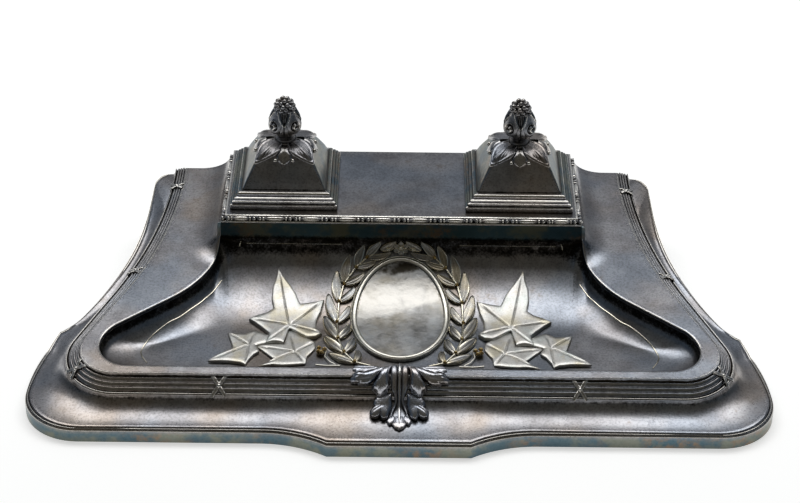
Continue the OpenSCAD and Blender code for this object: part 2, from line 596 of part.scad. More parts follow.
// Bead and reel moulding on the front and both ends of the platform
bead_r = 1.15;
bead_pitch = deck_w / (bead_groups + 1);
bead_section = [[0, 0], [0.1, 0.5], [0.45, 0.62], [0.62, 1], [1, 1], [1, 0]];
module bead_pair(x, y) {
    for (d = [-1.5, 1.5]) translate([x + d, y, 0]) sphere(r = bead_r, $fn = 24);
}
module bead_moulding() {
    w = deck_w / 2;
    corners = [[-1, rear_y, 0], [-1, deck_y, 1], [1, deck_y, 1], [1, rear_y, 0]];
    bead_c = bead_h * 0.4;
    color("silver") {
        strip([for (c = corners) [for (p = bead_section) [c[0] * (w - p[0] * bead_h), c[1] + c[2] * p[0] * bead_h,
            moulding_z + p[1] * bead_h]]]);
        translate([0, 0, moulding_z + bead_h * 0.55]) {
            for (k = [-(bead_groups - 1) / 2:(bead_groups - 1) / 2]) bead_pair(k * bead_pitch, deck_y + bead_c);
            for (side = [-1, 1], k = [0:floor((deck_d - 6) / bead_pitch)])
                translate([side * (w - bead_c), deck_y + 4 + k * bead_pitch, 0]) rotate(90) bead_pair(0, 0);
        }
    }
}

// Back plate between the ends of the skirt
back_in = wall + 0.1;
module back_plate() {
    e = outline[n_half];
    s = spine[n_half];
    low = [lip[n_half].x, lip_height(rear_y) - wall - touch * 2];
    high = [s.x, border_height(rear_y) - wall - touch * 2];
    sweep = [for (t = [0:0.2:0.8]) let (x = mix(deck_w / 2 + sweep_r, deck_w / 2 + 0.5, t))
        [x, wing_height(x, rear_y) - wall - touch * 2]];
    in = deck_w / 2 - bead_h - touch;
    half = concat([[e.x - back_in, touch], [e.x - back_in, rim_rear_h - wall], [low.x - 1, low.y - 0.3], high], sweep,
        [[deck_w / 2, moulding_z - wall - touch], [in, moulding_z - wall - touch], [in, deck_z - deck_t - touch]]);
    n = len(half);
    color("dimgray") translate([0, rear_y, 0]) rotate([90, 0, 0]) linear_extrude(wall)
        polygon(concat(half, [for (i = [n - 1:-1:0]) [-half[i].x, half[i].y]]));
}

// Ink wells: a sheet metal box under the platform and a glass well hung in it
function side_x(side) = side * well_x;
module well_box(side) {
    h = deck_z - deck_t - touch - box_z;
    color("darkgray") translate([side_x(side), lid_y, box_z]) difference() {
        linear_extrude(h) square_at(well_open);
        translate([0, 0, box_t]) linear_extrude(h) square_at(well_open - 2 * box_t);
    }
}
module well_box_left() {
    well_box(-1);
}
module well_box_right() {
    well_box(1);
}
glass_w = well_open - 2 * box_t - 2 * glass_gap;
flange_w = well_open + 1.2;
glass_r = 3;
module rounded(w, r) {
    square([w, w - 2 * r], center = true);
    square([w - 2 * r, w], center = true);
    for (x = [-1, 1], y = [-1, 1]) translate([x, y] * (w / 2 - r)) circle(r);
}
module glass_well(side) {
    z = box_z + box_t + glass_gap;
    color("lightcyan") translate([side_x(side), lid_y, 0]) difference() {
        union() {
            translate([0, 0, z]) linear_extrude(deck_z + touch - z) rounded(glass_w, glass_r);
            translate([0, 0, deck_z + touch]) linear_extrude(flange_t) rounded(flange_w, glass_r);
        }
        translate([0, 0, z + ink_floor]) cylinder(d = ink_d, h = deck_z);
    }
}
module glass_well_left() {
    glass_well(-1);
}
module glass_well_right() {
    glass_well(1);
}

// Lids: a stepped square frame and a bell-shaped top, hollow inside
frame_in = (lid_w - lid_lip_w) / 2;
lid_low_z = deck_z + lid_gap;
// Steps of the frame as [share of its inset, share of its height]
step_profile = [[0, 0], [0, 0.3], [0.12, 0.36], [0.2, 0.36], [0.2, 0.52], [0.42, 0.56], [0.46, 0.7], [0.68, 0.74],
    [0.72, 0.88], [0.94, 1], [1, 1]];
// Bell from the lip to the top as [share of the lip's half width, share of the height above the lip]
bell_profile = [[0.965, 0.03], [0.93, 0.12], [0.885, 0.24], [0.79, 0.46], [0.69, 0.68], [0.635, 0.8],
    [0.57, 0.89], [0.48, 0.95], [0.36, 0.99], [0.25, 1]];
lid_rings = concat([for (p = step_profile) [lid_w / 2 - frame_in * p[0], lid_low_z + (lid_frame_h - lid_gap) * p[1]]],
    [for (p = bell_profile) [lid_lip_w / 2 * p[0], deck_z + mix(lid_frame_h, lid_h, p[1])]]);
lid_cavity_w = flange_w + 1.2;
function square_ring(a, z) = [[-a, -a, z], [a, -a, z], [a, a, z], [-a, a, z]];
inner_rings = concat([[lid_cavity_w / 2, lid_low_z], [lid_cavity_w / 2, lid_low_z + flange_t + 0.8],
    [lid_lip_w / 2 - lid_wall - 0.6, deck_z + lid_frame_h - 1.2]],
    [for (p = bell_profile) if (p[0] > 0.3 && p[0] < 0.95)
        [lid_lip_w / 2 * p[0] - lid_wall, deck_z + mix(lid_frame_h, lid_h, p[1]) - lid_wall * (1 - p[0])]],
    [[lid_lip_w / 2 * 0.3, deck_z + lid_h - lid_wall]]);
module lid(side) {
    rings = concat([for (r = lid_rings) square_ring(r[0], r[1])]);
    inside = [for (k = [len(inner_rings) - 1:-1:0]) square_ring(inner_rings[k][0], inner_rings[k][1])];
    all = concat(rings, inside);
    n = len(all);
    o = len(rings);
    skin = [for (i = [0:n - 2], j = [0:3]) if (i != o - 1) let (a = 4 * i, b = a + 4, k = (j + 1) % 4)
        each [[a + j, b + j, b + k], [a + j, b + k, a + k]]];
    foot = [for (j = [0:3]) let (a = 0, b = 4 * (n - 1), k = (j + 1) % 4)
        each [[a + j, a + k, b + k], [a + j, b + k, b + j]]];
    tops = [[for (j = [3:-1:0]) 4 * (o - 1) + j], [for (j = [0:3]) 4 * o + j]];
    color("dimgray") translate([side_x(side), lid_y, 0]) difference() {
        polyhedron(flat(all), concat(skin, foot, tops));
        translate([0, 0, deck_z]) cylinder(d = stud_d + 2 * stud_gap, h = lid_h + 1);
    }
}
module lid_left() {
    lid(-1);
}
module lid_right() {
    lid(1);
}

// Calyx: a cap of leaves over the top of the lid, long at the corners, with a small leaf on each face
calyx_t = 0.9;
calyx_top_r = 5.2;
calyx_n = 48;
calyx_rows = 5;
calyx_corner = 0.66;
calyx_face = 0.7;
calyx_notch = 0.88;
// Half width of the bell at a share q of its height
function bell_half(q) = lid_lip_w / 2 * lookup(q, [for (p = bell_profile) [p[1], p[0]]]);
function calyx_end(a) = let (c = abs(sin(2 * a)), f = abs(cos(2 * a)))
    c > 0.62 ? mix(calyx_notch, calyx_corner, (c - 0.62) / 0.38)
    : f > 0.9 ? mix(calyx_notch, calyx_face, (f - 0.9) / 0.1) : calyx_notch;
function calyx_point(a, t, h) = let (q = mix(1, calyx_end(a), t), b = bell_half(q),
    r = max(calyx_top_r, b / max(abs(cos(a)), abs(sin(a)))) + h * (1 - q) * 3,
    z = deck_z + mix(lid_frame_h, lid_h, q) + h * mix(0.5, 1, q))
    [(r + h * 0.3) * cos(a), (r + h * 0.3) * sin(a), z];
module calyx(side) {
    lines = [for (i = [0:calyx_n - 1]) let (a = i * 360 / calyx_n)
        concat([for (k = [0:calyx_rows]) calyx_point(a, k / calyx_rows, solder + calyx_t)],
            [for (k = [calyx_rows:-1:0]) calyx_point(a, k / calyx_rows, solder)])];
    color("silver") translate([side_x(side), lid_y, 0]) ring([for (i = [calyx_n - 1:-1:0]) lines[i]]);
}
module calyx_left() {
    calyx(-1);
}
module calyx_right() {
    calyx(1);
}

// Finial: a bud on a turned foot with curled petals and a cluster of berries, and its stud
petals = 6;
petal_r = 2.3;
cluster_r = 5.2;
grain_r = 1.15;
// Rows of berries as [height angle, count, first angle]
grain_rows = [[14, 8, 0], [52, 5, 20], [90, 1, 0]];
finial_z = deck_z + lid_h + solder;
stud_low = 7;
module finial(side) {
    bulb_z = finial_h * 0.36;
    core_r = cluster_r - grain_r + 0.3;
    core_z = finial_h - cluster_r;
    color("silver") translate([side_x(side), lid_y, finial_z]) {
        translate([0, 0, -lid_wall - stud_low]) cylinder(d = stud_d, h = lid_wall + stud_low + 1);
        rotate_extrude() polygon(concat([[0, 0], [calyx_top_r - 0.4, 0], [calyx_top_r - 0.2, 1],
            [calyx_top_r - 1.4, 1.8], [3, 3], [3.3, 3.8], [bud_d * 0.36, bulb_z * 0.6], [bud_d * 0.43, bulb_z],
            [bud_d * 0.38, bulb_z * 1.45], [bud_d * 0.27, bulb_z * 1.8]],
            [for (a = [-30:30:90]) [core_r * cos(a), core_z + core_r * sin(a)]]));
        for (k = [0:petals - 1]) rotate(k * 360 / petals + 30)
            translate([bud_d / 2 - petal_r, 0, bulb_z]) sphere(r = petal_r, $fn = 24);
        translate([0, 0, core_z]) for (row = grain_rows, k = [0:row[1] - 1])
            rotate([0, 0, k * 360 / row[1] + row[2]]) rotate([0, -row[0], 0])
                translate([cluster_r - grain_r, 0, 0]) sphere(r = grain_r, $fn = 20);
    }
}
module finial_left() {
    finial(-1);
}
module finial_right() {
    finial(1);
}
nut_t = 2.6;
module finial_nut(side) {
    translate([side_x(side), lid_y, finial_z - solder - lid_wall - 0.1 - nut_t]) color("goldenrod") difference() {
        translate([-nut_w / 2, -nut_w / 2, 0]) cube([nut_w, nut_w, nut_t]);
        translate([0, 0, -1]) cylinder(d = stud_d + 2 * touch, h = nut_t + 2);
    }
}
module finial_nut_left() {
    finial_nut(-1);
}
module finial_nut_right() {
    finial_nut(1);
}

// Hinges behind the lids: two fixed knuckles, one moving knuckle and a pin
hinge_y = lid_y + lid_w / 2 + barrel_d / 2 + 0.4;
hinge_z = deck_z + barrel_d / 2 + 0.2;
leaf_t = 1.4;
module barrel(x, l) {
    translate([x, hinge_y, hinge_z]) rotate([0, 90, 0]) cylinder(d = barrel_d, h = l, center = true);
}
module pin_bore(side, gap) {
    translate([side_x(side), hinge_y, hinge_z]) rotate([0, 90, 0])
        cylinder(d = pin_d + 2 * gap, h = 6 * knuckle_l, center = true);
}
module hinge_foot(side) {
    color("dimgray") for (k = [-1, 1]) difference() {
        x = side_x(side) + k * (knuckle_l + knuckle_gap);
        union() {
            barrel(x, knuckle_l);
            translate([x - knuckle_l / 2, hinge_y - barrel_d / 2, deck_z])
                cube([knuckle_l, barrel_d - 0.1, barrel_d / 2 - 0.3]);
        }
        pin_bore(side, pin_gap);
    }
}
module hinge_leaf(side) {
    color("dimgray") difference() {
        union() {
            barrel(side_x(side), knuckle_l);
            translate([side_x(side) - knuckle_l / 2, lid_y + lid_w / 2, hinge_z])
                cube([knuckle_l, hinge_y - lid_y - lid_w / 2, leaf_t]);
        }
        pin_bore(side, pin_gap);
    }
}
module hinge_pin(side) {
    l = 3 * knuckle_l + 2 * knuckle_gap;
    color("darkgray") translate([side_x(side), hinge_y, hinge_z]) rotate([0, 90, 0]) {
        cylinder(d = pin_d, h = l, center = true);
        for (k = [-1, 1]) translate([0, 0, k * (l / 2 + 0.5)]) cylinder(d = pin_d + 1, h = 1, center = true);
    }
}
module hinge_foot_left() {
    hinge_foot(-1);
}
module hinge_foot_right() {
    hinge_foot(1);
}
module hinge_leaf_left() {
    hinge_leaf(-1);
}
module hinge_leaf_right() {
    hinge_leaf(1);
}
module hinge_pin_left() {
    hinge_pin(-1);
}
module hinge_pin_right() {
    hinge_pin(1);
}

// Underside: a wooden board inside the rim and felt under it
function inset(g) = let (half = [for (i = [0:n_half - n_rear]) let (o = [outline[i].x, outline[i].y],
    n = (lip[i] - o) / norm(lip[i] - o)) o + n * (wall + g)], e = outline[n_half],
    full = concat(half, [[e.x - wall - g, rear_y - wall - g]]))
    concat(full, [for (i = [len(full) - 1:-1:1]) [-full[i].x, full[i].y]]);
module base_board() {
    color("saddlebrown") translate([0, 0, felt_t + touch]) linear_extrude(board_t) polygon(inset(board_gap));
}
module base_felt() {
    color("darkgreen") linear_extrude(felt_t) polygon(inset(board_gap + 2));
}

base_skirt();
reed_moulding();
border_plate();
pen_tray();
deck_plate();
bead_moulding();
back_plate();
ribbon_ties();
medallion_frame();
medallion_plaque();
wreath_left();
wreath_right();
wreath_rosette();
ivy_left();
ivy_right();
ivy_berries();
clasp_leaf();
well_box_left();
well_box_right();
glass_well_left();
glass_well_right();
lid_left();
lid_right();
calyx_left();
calyx_right();
finial_left();
finial_right();
finial_nut_left();
finial_nut_right();
hinge_foot_left();
hinge_foot_right();
hinge_leaf_left();
hinge_leaf_right();
hinge_pin_left();
hinge_pin_right();
base_board();
base_felt();
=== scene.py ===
import random
from math import asin, atan2, cos, degrees, exp, hypot, pi, radians, sin, sqrt, tan

import bmesh
import bpy
from mathutils import Euler, Matrix, Vector


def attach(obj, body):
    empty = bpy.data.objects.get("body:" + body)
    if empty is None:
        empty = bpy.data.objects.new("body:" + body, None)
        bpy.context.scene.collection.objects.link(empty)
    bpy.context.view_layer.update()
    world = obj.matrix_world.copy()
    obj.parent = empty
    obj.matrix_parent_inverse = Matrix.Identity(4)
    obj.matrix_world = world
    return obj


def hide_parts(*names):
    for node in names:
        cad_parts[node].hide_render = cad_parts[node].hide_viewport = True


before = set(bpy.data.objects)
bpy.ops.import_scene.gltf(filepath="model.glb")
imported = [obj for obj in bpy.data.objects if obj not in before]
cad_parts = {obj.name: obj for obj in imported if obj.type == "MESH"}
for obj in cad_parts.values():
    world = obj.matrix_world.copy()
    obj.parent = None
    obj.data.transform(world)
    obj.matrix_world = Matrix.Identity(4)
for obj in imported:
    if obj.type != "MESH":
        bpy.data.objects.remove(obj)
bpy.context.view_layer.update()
print("frame loaded")

# Everything below is worked out in millimetres and made in metres.
millimetre = 0.001
# Each stretch of the outline in the CAD source is cut this many times finer here
finer = 5


# small sums
def mix(a, b, t):
    return a + (b - a) * t


def clamp(t):
    return max(0.0, min(1.0, t))


def sinD(a):
    return sin(radians(a))


def cosD(a):
    return cos(radians(a))


def smooth(a, b, t):
    u = clamp((t - a) / (b - a))
    return u * u * (3 - 2 * u)


def hump(t, middle, width):
    return exp(-(((t - middle) / width) ** 2))


def mixPoint(a, b, t):
    return tuple(mix(p, q, t) for p, q in zip(a, b))


def unit(v):
    n = sqrt(sum(c * c for c in v)) or 1.0
    return tuple(c / n for c in v)


def solveTwo(a, b, c, d, e, f):
    k = a * d - b * c
    return (e * d - b * f) / k, (a * f - e * c) / k


# A smooth line through points, with cutsEach cuts between each two
def smoothLine(points, cutsEach):
    out = []
    last = len(points) - 1
    for i in range(last):
        near = list(zip(points[max(0, i - 1)], points[i], points[i + 1], points[min(last, i + 2)]))
        for k in range(cutsEach):
            t = k / cutsEach
            out.append(tuple(0.5 * (2 * b + (c - a) * t + (2 * a - 5 * b + 4 * c - d) * t * t
                                    + (3 * b - a - 3 * c + d) * t ** 3) for a, b, c, d in near))
    out.append(tuple(points[-1]))
    return out


# materials
def toLinear(text):
    out = []
    for i in (1, 3, 5):
        c = int(text[i:i + 2], 16) / 255
        out.append(c / 12.92 if c <= 0.04045 else ((c + 0.055) / 1.055) ** 2.4)
    return (*out, 1.0)


# A node with its settings and links: what another node gives is linked, and any other value is set
def addNode(tree, kind, settings=None):
    node = tree.nodes.new(kind)
    for key, value in (settings or {}).items():
        if isinstance(key, str) and hasattr(node, key):
            setattr(node, key, value)
        elif isinstance(value, bpy.types.NodeSocket):
            tree.links.new(value, node.inputs[key])
        else:
            node.inputs[key].default_value = value
    return node


def perMillimetre(size):
    return 1 / (size * millimetre)


def newMaterial(name):
    material = bpy.data.materials.new(name)
    material.use_nodes = True
    material.node_tree.nodes.clear()
    return material, material.node_tree


# One colour over another. Each field (pattern, start, full, most) eases from nothing to most between two
# values of its pattern, and the share of the upper colour is what the fields give when multiplied.
def layOver(tree, below, above, fields, share=None, mode="MIX"):
    for pattern, start, full, most in fields:
        rise = addNode(tree, "ShaderNodeMapRange", {
            "interpolation_type": "SMOOTHSTEP", 0: pattern, 1: start, 2: full, 4: most}).outputs[0]
        share = rise if share is None else addNode(tree, "ShaderNodeMath", {
            "operation": "MULTIPLY", 0: share, 1: rise}).outputs[0]
    return addNode(tree, "ShaderNodeMix", {
        "data_type": "RGBA", "blend_type": mode, 0: share, 6: below, 7: above}).outputs[2]


# A value that patterns raise and lower, each by its own amount about its middle
def swayBy(tree, value, patterns):
    for pattern, amount in patterns:
        offset = addNode(tree, "ShaderNodeMath", {"operation": "SUBTRACT", 0: pattern, 1: 0.5}).outputs[0]
        value = addNode(tree, "ShaderNodeMath", {
            "operation": "MULTIPLY_ADD", 0: offset, 1: amount, 2: value}).outputs[0]
    return value


# Silver plate on a cast body, oxidised dark and rubbed paler where hands reach it: satin grey with faint
# blue and straw tints, fine speckle, pale edges and near-black tarnish in the hollows. The pale and the
# near-black also paint highlights and shade.
bodyPlate = {
    "dark": "#8b898a", "light": "#a9a8aa", "blue": "#8493a3", "warm": "#b09c85", "tint": 0.4,
    # the pale colour also paints highlights, and the near-black also paints shade and shadow gaps
    "worn": "#c4c0b8", "wornFrom": 0.68, "tarnish": "#17140f", "tarnishTo": 0.34, "pointGain": 3.0,
    # blue, green and brown of a painted reflection of the coloured surroundings on upright faces, and its
    # strength
    "stain": "#6e5a3e", "stainShare": 0.4, "filmBlue": "#3f626e", "filmGreen": "#717868",
    "filmBrown": "#8d7253", "film": 0.9, "roughLow": 0.2, "roughHigh": 0.34,
    # sizes in millimetres
    "tintSize": 48.0, "mottle": 20.0, "cloud": 4.5, "speckle": 1.1, "grain": 0.6, "grainDepth": 0.03,
    "dentDepth": 0.05,
}
# The same plate on the applied ornament, where the polish has kept the high places pale and straw-coloured.
ornamentPlate = dict(
    bodyPlate, dark="#8e8c88", light="#aeaaa2", blue="#9aa3ad", warm="#b8a678", worn="#efe8d4", wornFrom=0.56,
    tarnish="#1d170c", tarnishTo=0.3, pointGain=3.5, stain="#8a713f", stainShare=0.3, roughLow=0.22,
    roughHigh=0.36, tintSize=14.0, mottle=10.0, cloud=2.6, speckle=0.8, grain=0.5, dentDepth=0.03)
# On the finials, the ties and the leaf caps of the lids the plate has stayed dark, as nobody polishes there.
darkPlate = dict(
    bodyPlate, dark="#757475", light="#979698", tint=0.25, worn="#f0ece4", wornFrom=0.58, tarnish="#100e0b",
    pointGain=1.4, stainShare=0.15, roughLow=0.24, roughHigh=0.36, tintSize=16.0, mottle=9.0, cloud=2.4,
    speckle=0.8, grain=0.5)
# The ivy and the medallion's rim are rubbed to white silver, with straw-coloured tarnish towards their edges.
palePlate = dict(
    bodyPlate, dark="#c6c4bf", light="#dddbd6", blue="#c3cecb", warm="#cfc193", worn="#f0ece0", wornFrom=0.62,
    tarnish="#3c3118", tarnishTo=0.26, pointGain=2.0, stain="#b59a55", stainShare=0.4, roughLow=0.34,
    roughHigh=0.46, tintSize=14.0, mottle=9.0, cloud=3.4, speckle=0.8, grain=0.5, dentDepth=0.03)
# The clasp's plate is painted lighter and bluish white on top, a painted highlight for the sheen its leaves
# show, and stays clean below.
claspPlateWithSheen = dict(
    bodyPlate, dark="#a6a6aa", light="#c6c7cc", blue="#a3b1c5", worn="#dad8d4", tarnishTo=0.3, pointGain=1.4,
    stainShare=0.2, tintSize=16.0, mottle=9.0, cloud=2.6, speckle=0.8, grain=0.5, dentDepth=0.03)
# The plaque is the same silver polished bright: a soft mirror, with brown tarnish left in ragged clouds at
# its top.
plaquePlate = dict(
    bodyPlate, dark="#93928f", light="#a8a7a4", blue="#9aa1a7", warm="#a89e88", worn="#b9b6b0", wornFrom=0.6,
    tarnish="#3b372f", tarnishTo=0.3, pointGain=0.0, stain="#a58f5a", stainShare=0.2, roughLow=0.31,
    roughHigh=0.36, tintSize=20.0, mottle=10.0, cloud=9.0, speckle=9.0, dentDepth=0.25)


# Coats of colour: mottled silver, blue and straw tints, dark speckle, brown stains, a painted reflection of
# the coloured surroundings on upright faces, tarnish in the hollows and painted shade, and pale metal on what
# is rubbed and on painted highlights.
def platedMaterial(name, look):
    material, tree = newMaterial(name)
    coord = addNode(tree, "ShaderNodeTexCoord").outputs["Object"]
    worn = addNode(tree, "ShaderNodeAttribute", {"attribute_name": "wear"}).outputs["Fac"]
    film = addNode(tree, "ShaderNodeAttribute", {"attribute_name": "film"}).outputs["Fac"]
    point = addNode(tree, "ShaderNodeNewGeometry").outputs["Pointiness"]
    hue = {key: toLinear(value) for key, value in look.items() if isinstance(value, str)}
    pattern = {}
    for key, detail, roughness in (("tintSize", 3.0, 0.5), ("mottle", 4.0, 0.6), ("cloud", 5.0, 0.65),
                                   ("speckle", 3.0, 0.7), ("grain", 2.0, 0.5)):
        pattern[key] = addNode(tree, "ShaderNodeTexNoise", {
            "Vector": coord, "Scale": perMillimetre(look[key]), "Detail": detail,
            "Roughness": roughness}).outputs[0]
    tint, mottle, cloud, speckle, grain = pattern.values()
    height = swayBy(tree, worn, [(point, look["pointGain"]), (cloud, 0.35), (speckle, 0.35)])
    plate = layOver(tree, hue["dark"], hue["light"], [(mottle, 0.35, 0.65, 1.0)])
    plate = layOver(tree, plate, hue["blue"], [(tint, 0.5, 0.66, look["tint"])])
    plate = layOver(tree, plate, hue["warm"], [(tint, 0.5, 0.34, look["tint"])])
    plate = layOver(tree, plate, hue["dark"], [(speckle, 0.58, 0.34, 0.42)], mode="MULTIPLY")
    spots = [(mottle, 0.58, 0.7, look["stainShare"]), (cloud, 0.46, 0.66, 1.0)]
    plate = layOver(tree, plate, hue["stain"], spots)
    # painted reflection of the coloured surroundings, laid on as far as each point's value for it asks
    paintedReflectionColour = layOver(tree, hue["filmBlue"], hue["filmGreen"], [(mottle, 0.42, 0.56, 1.0)])
    paintedReflectionColour = layOver(tree, paintedReflectionColour, hue["filmBrown"], [(tint, 0.46, 0.6, 1.0), (cloud, 0.4, 0.7, 1.0)])
    paintedReflectionShare = addNode(tree, "ShaderNodeMath", {"operation": "MULTIPLY", 0: film, 1: look["film"]}).outputs[0]
    plate = layOver(tree, plate, paintedReflectionColour, [], share=paintedReflectionShare)
    # near-black tarnish in the hollows and painted shade where a point's value is low, pale rubbed metal and
    # painted highlights where it is high
    plate = layOver(tree, plate, hue["tarnish"], [(height, look["tarnishTo"], 0.02, 1.0)])
    plate = layOver(tree, plate, hue["worn"], [(height, look["wornFrom"], 1.0, 1.0)])
    rough = addNode(tree, "ShaderNodeMapRange", {
        "interpolation_type": "SMOOTHSTEP", 0: height, 1: 1.0, 2: 0.1, 3: look["roughLow"],
        4: look["roughHigh"]}).outputs[0]
    rough = swayBy(tree, rough, [(cloud, 0.1), (speckle, 0.1)])
    dents = addNode(tree, "ShaderNodeBump", {
        "Strength": 1.0, "Distance": look["dentDepth"] * millimetre, "Height": cloud}).outputs[0]
    relief = addNode(tree, "ShaderNodeBump", {
        "Strength": 1.0, "Distance": look["grainDepth"] * millimetre, "Height": grain,
        "Normal": dents}).outputs[0]
    shader = addNode(tree, "ShaderNodeBsdfPrincipled", {
        "Metallic": 1.0, "Base Color": plate, "Roughness": rough, "Normal": relief}).outputs[0]
    addNode(tree, "ShaderNodeOutputMaterial", {"Surface": shader})
    return material


# Two shades in patches with a fine relief, both drawn out along the grain where the look says so
def plainMaterial(name, look):
    material, tree = newMaterial(name)
    coord = addNode(tree, "ShaderNodeTexCoord").outputs["Object"]
    stretch = addNode(tree, "ShaderNodeMapping", {
        "Vector": coord, "Scale": look.get("stretch", (1, 1, 1))}).outputs[0]
    patch = addNode(tree, "ShaderNodeTexNoise", {
        "Vector": stretch, "Scale": perMillimetre(look["patch"]), "Detail": 5.0, "Roughness": 0.6}).outputs[0]
    grain = addNode(tree, "ShaderNodeTexNoise", {
        "Vector": stretch, "Scale": perMillimetre(look["grain"]), "Detail": 3.0}).outputs[0]
    colour = layOver(tree, toLinear(look["dark"]), toLinear(look["light"]), [(patch, 0.35, 0.65, 1.0)])
    rough = addNode(tree, "ShaderNodeMapRange", {
        "interpolation_type": "SMOOTHSTEP", 0: patch, 1: 0.3, 2: 0.7, 3: look["roughLow"],
        4: look["roughHigh"]}).outputs[0]
    relief = addNode(tree, "ShaderNodeBump", {
        "Strength": 1.0, "Distance": look["depth"] * millimetre, "Height": grain}).outputs[0]
    shader = addNode(tree, "ShaderNodeBsdfPrincipled", {
        "Metallic": look["metallic"], **look.get("shader", {}),
        "Base Color": colour, "Roughness": rough, "Normal": relief}).outputs[0]
    addNode(tree, "ShaderNodeOutputMaterial", {"Surface": shader})
    return material


silverPlate = platedMaterial("oxidised silver plate, satin", bodyPlate)
brightPlate = platedMaterial("silver plate, chased and rubbed", ornamentPlate)
dullPlate = platedMaterial("silver plate, chased and left dark", darkPlate)
# the clasp's lighter, bluish plate is a painted highlight
chasedSilverWithSheen = platedMaterial("silver plate, chased and rubbed by hands", claspPlateWithSheen)
paleSilver = platedMaterial("silver plate, chased and polished white", palePlate)
polishedSilver = platedMaterial("polished silver sheet", plaquePlate)
# Gilding rubbed thin: warm yellow metal with brown in the hollows
wornGilding = plainMaterial("worn gilding", {
    "dark": "#8f6d33", "light": "#e3cf9a", "roughLow": 0.22, "roughHigh": 0.4, "metallic": 1.0,
    "patch": 1.2, "grain": 0.4, "depth": 0.02})
# Tinned sheet, folded: dull grey with fine rolling lines
tinnedSheet = plainMaterial("tinned sheet, rolled", {
    "dark": "#85858a", "light": "#a9a9ab", "roughLow": 0.35, "roughHigh": 0.5, "metallic": 1.0,
    "patch": 12.0, "grain": 0.5, "depth": 0.01, "stretch": (1, 6, 1)})
# Cast brass, filed flat: dull yellow metal
castBrass = plainMaterial("cast brass, filed", {
    "dark": "#8c6c33", "light": "#b9974f", "roughLow": 0.3, "roughHigh": 0.5, "metallic": 1.0,
    "patch": 3.0, "grain": 0.5, "depth": 0.02})
# Beech board, planed: brown with long fine grain along the width
plainBoard = plainMaterial("beech board, planed", {
    "dark": "#5a3b22", "light": "#7a5634", "roughLow": 0.5, "roughHigh": 0.7, "metallic": 0.0,
    "patch": 6.0, "grain": 1.0, "depth": 0.05, "stretch": (0.12, 1, 1)})
# Wool felt, pressed: matt green fibres
woolFelt = plainMaterial("wool felt, pressed", {
    "dark": "#1c3527", "light": "#2b4a38", "roughLow": 0.9, "roughHigh": 1.0, "metallic": 0.0,
    "patch": 4.0, "grain": 0.5, "depth": 0.12, "shader": {"Sheen Weight": 0.4}})
# Pressed glass, fire polished: clear with a faint green cast
pressedGlass = plainMaterial("pressed glass, fire polished", {
    "dark": "#e6f1ee", "light": "#f2f8f6", "roughLow": 0.02, "roughHigh": 0.06, "metallic": 0.0,
    "patch": 20.0, "grain": 3.0, "depth": 0.02, "shader": {"Transmission Weight": 1.0, "IOR": 1.5}})
print("materials made")


# mesh making: points in millimetres, faces, and how rubbed each point is, from 0 in a crevice to 1; the same
# value carries painted shade and painted highlights
def newShape():
    return {"points": [], "faces": [], "wear": []}


def addPoint(shape, point, worn):
    shape["points"].append(point)
    shape["wear"].append(worn)
    return len(shape["points"]) - 1


# Rows of points, joined to their neighbours. Wear, with painted shade and highlights, is one value, one for
# each place in a row, or one for each point.
def addGrid(shape, rows, wear=0.5, closeRow=False, closeRows=False, capEnds=False, flip=False):
    start = len(shape["points"])
    n, m = len(rows), len(rows[0])
    if isinstance(wear, (int, float)):
        wear = [wear] * m
    if isinstance(wear[0], (int, float)):
        wear = [wear] * n
    for row, worn in zip(rows, wear):
        shape["points"].extend(row)
        shape["wear"].extend(worn)
    for i in range(n if closeRows else n - 1):
        for j in range(m if closeRow else m - 1):
            a, b = start + i * m, start + ((i + 1) % n) * m
            k = (j + 1) % m
            face = (a + j, a + k, b + k, b + j)
            shape["faces"].append(face[::-1] if flip else face)
    if capEnds:
        first = [start + j for j in range(m)]
        last = [start + (n - 1) * m + j for j in range(m)]
        shape["faces"].append(first if flip else first[::-1])
        shape["faces"].append(last[::-1] if flip else last)
    return start


# A ring of count points from first on, joined to one point in its middle
def addFan(shape, first, count, middle, flip=False):
    for i in range(count):
        face = (first + i, first + (i + 1) % count, middle)
        shape["faces"].append(face[::-1] if flip else face)


# Sections of the right half, from the middle outwards, are mirrored to make the left half as well.
def addBothHalves(shape, rows, wearAndShadings):
    left = [[(-x, y, z) for x, y, z in row] for row in rows[:0:-1]]
    addGrid(shape, left + rows, wearAndShadings[:0:-1] + wearAndShadings, closeRow=True, capEnds=True)


# Adds the left half of a finished shape, with its faces turned
def mirrorShape(shape):
    n = len(shape["points"])
    shape["points"] += [(-x, y, z) for x, y, z in shape["points"]]
    shape["wear"] += list(shape["wear"])
    shape["faces"] += [tuple(i + n for i in f[::-1]) for f in shape["faces"]]


def addPointValue(mesh, name, values):
    mesh.attributes.new(name, "FLOAT", "POINT").data.foreach_set("value", [float(v) for v in values])


# The last argument gives, for a point (x, y, z), how strongly a painted reflection of the coloured
# surroundings lies there, from 0 to 1
def makeObject(name, shape, material, body, nodes, sharp=40, merge=True, film=None):
    mesh = bpy.data.meshes.new(name)
    mesh.from_pydata([tuple(c * millimetre for c in p) for p in shape["points"]], [], shape["faces"])
    addPointValue(mesh, "wear", shape["wear"])
    if film:
        addPointValue(mesh, "film", [film(*p) for p in shape["points"]])
    mesh.materials.append(material)
    piece = bpy.data.objects.new(name, mesh)
    bpy.context.scene.collection.objects.link(piece)
    settleFaces(mesh, merge)
    mesh.shade_smooth()
    mesh.set_sharp_from_angle(angle=radians(sharp))
    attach(piece, body)
    if nodes:
        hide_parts(*nodes)


# Points nearer than weldGap are one, and every face looks out
weldGap = 0.004


def settleFaces(mesh, weld):
    work = bmesh.new()
    work.from_mesh(mesh)
    if weld:
        bmesh.ops.remove_doubles(work, verts=work.verts, dist=weldGap * millimetre)
    bmesh.ops.recalc_face_normals(work, faces=work.faces)
    work.to_mesh(mesh)
    work.free()


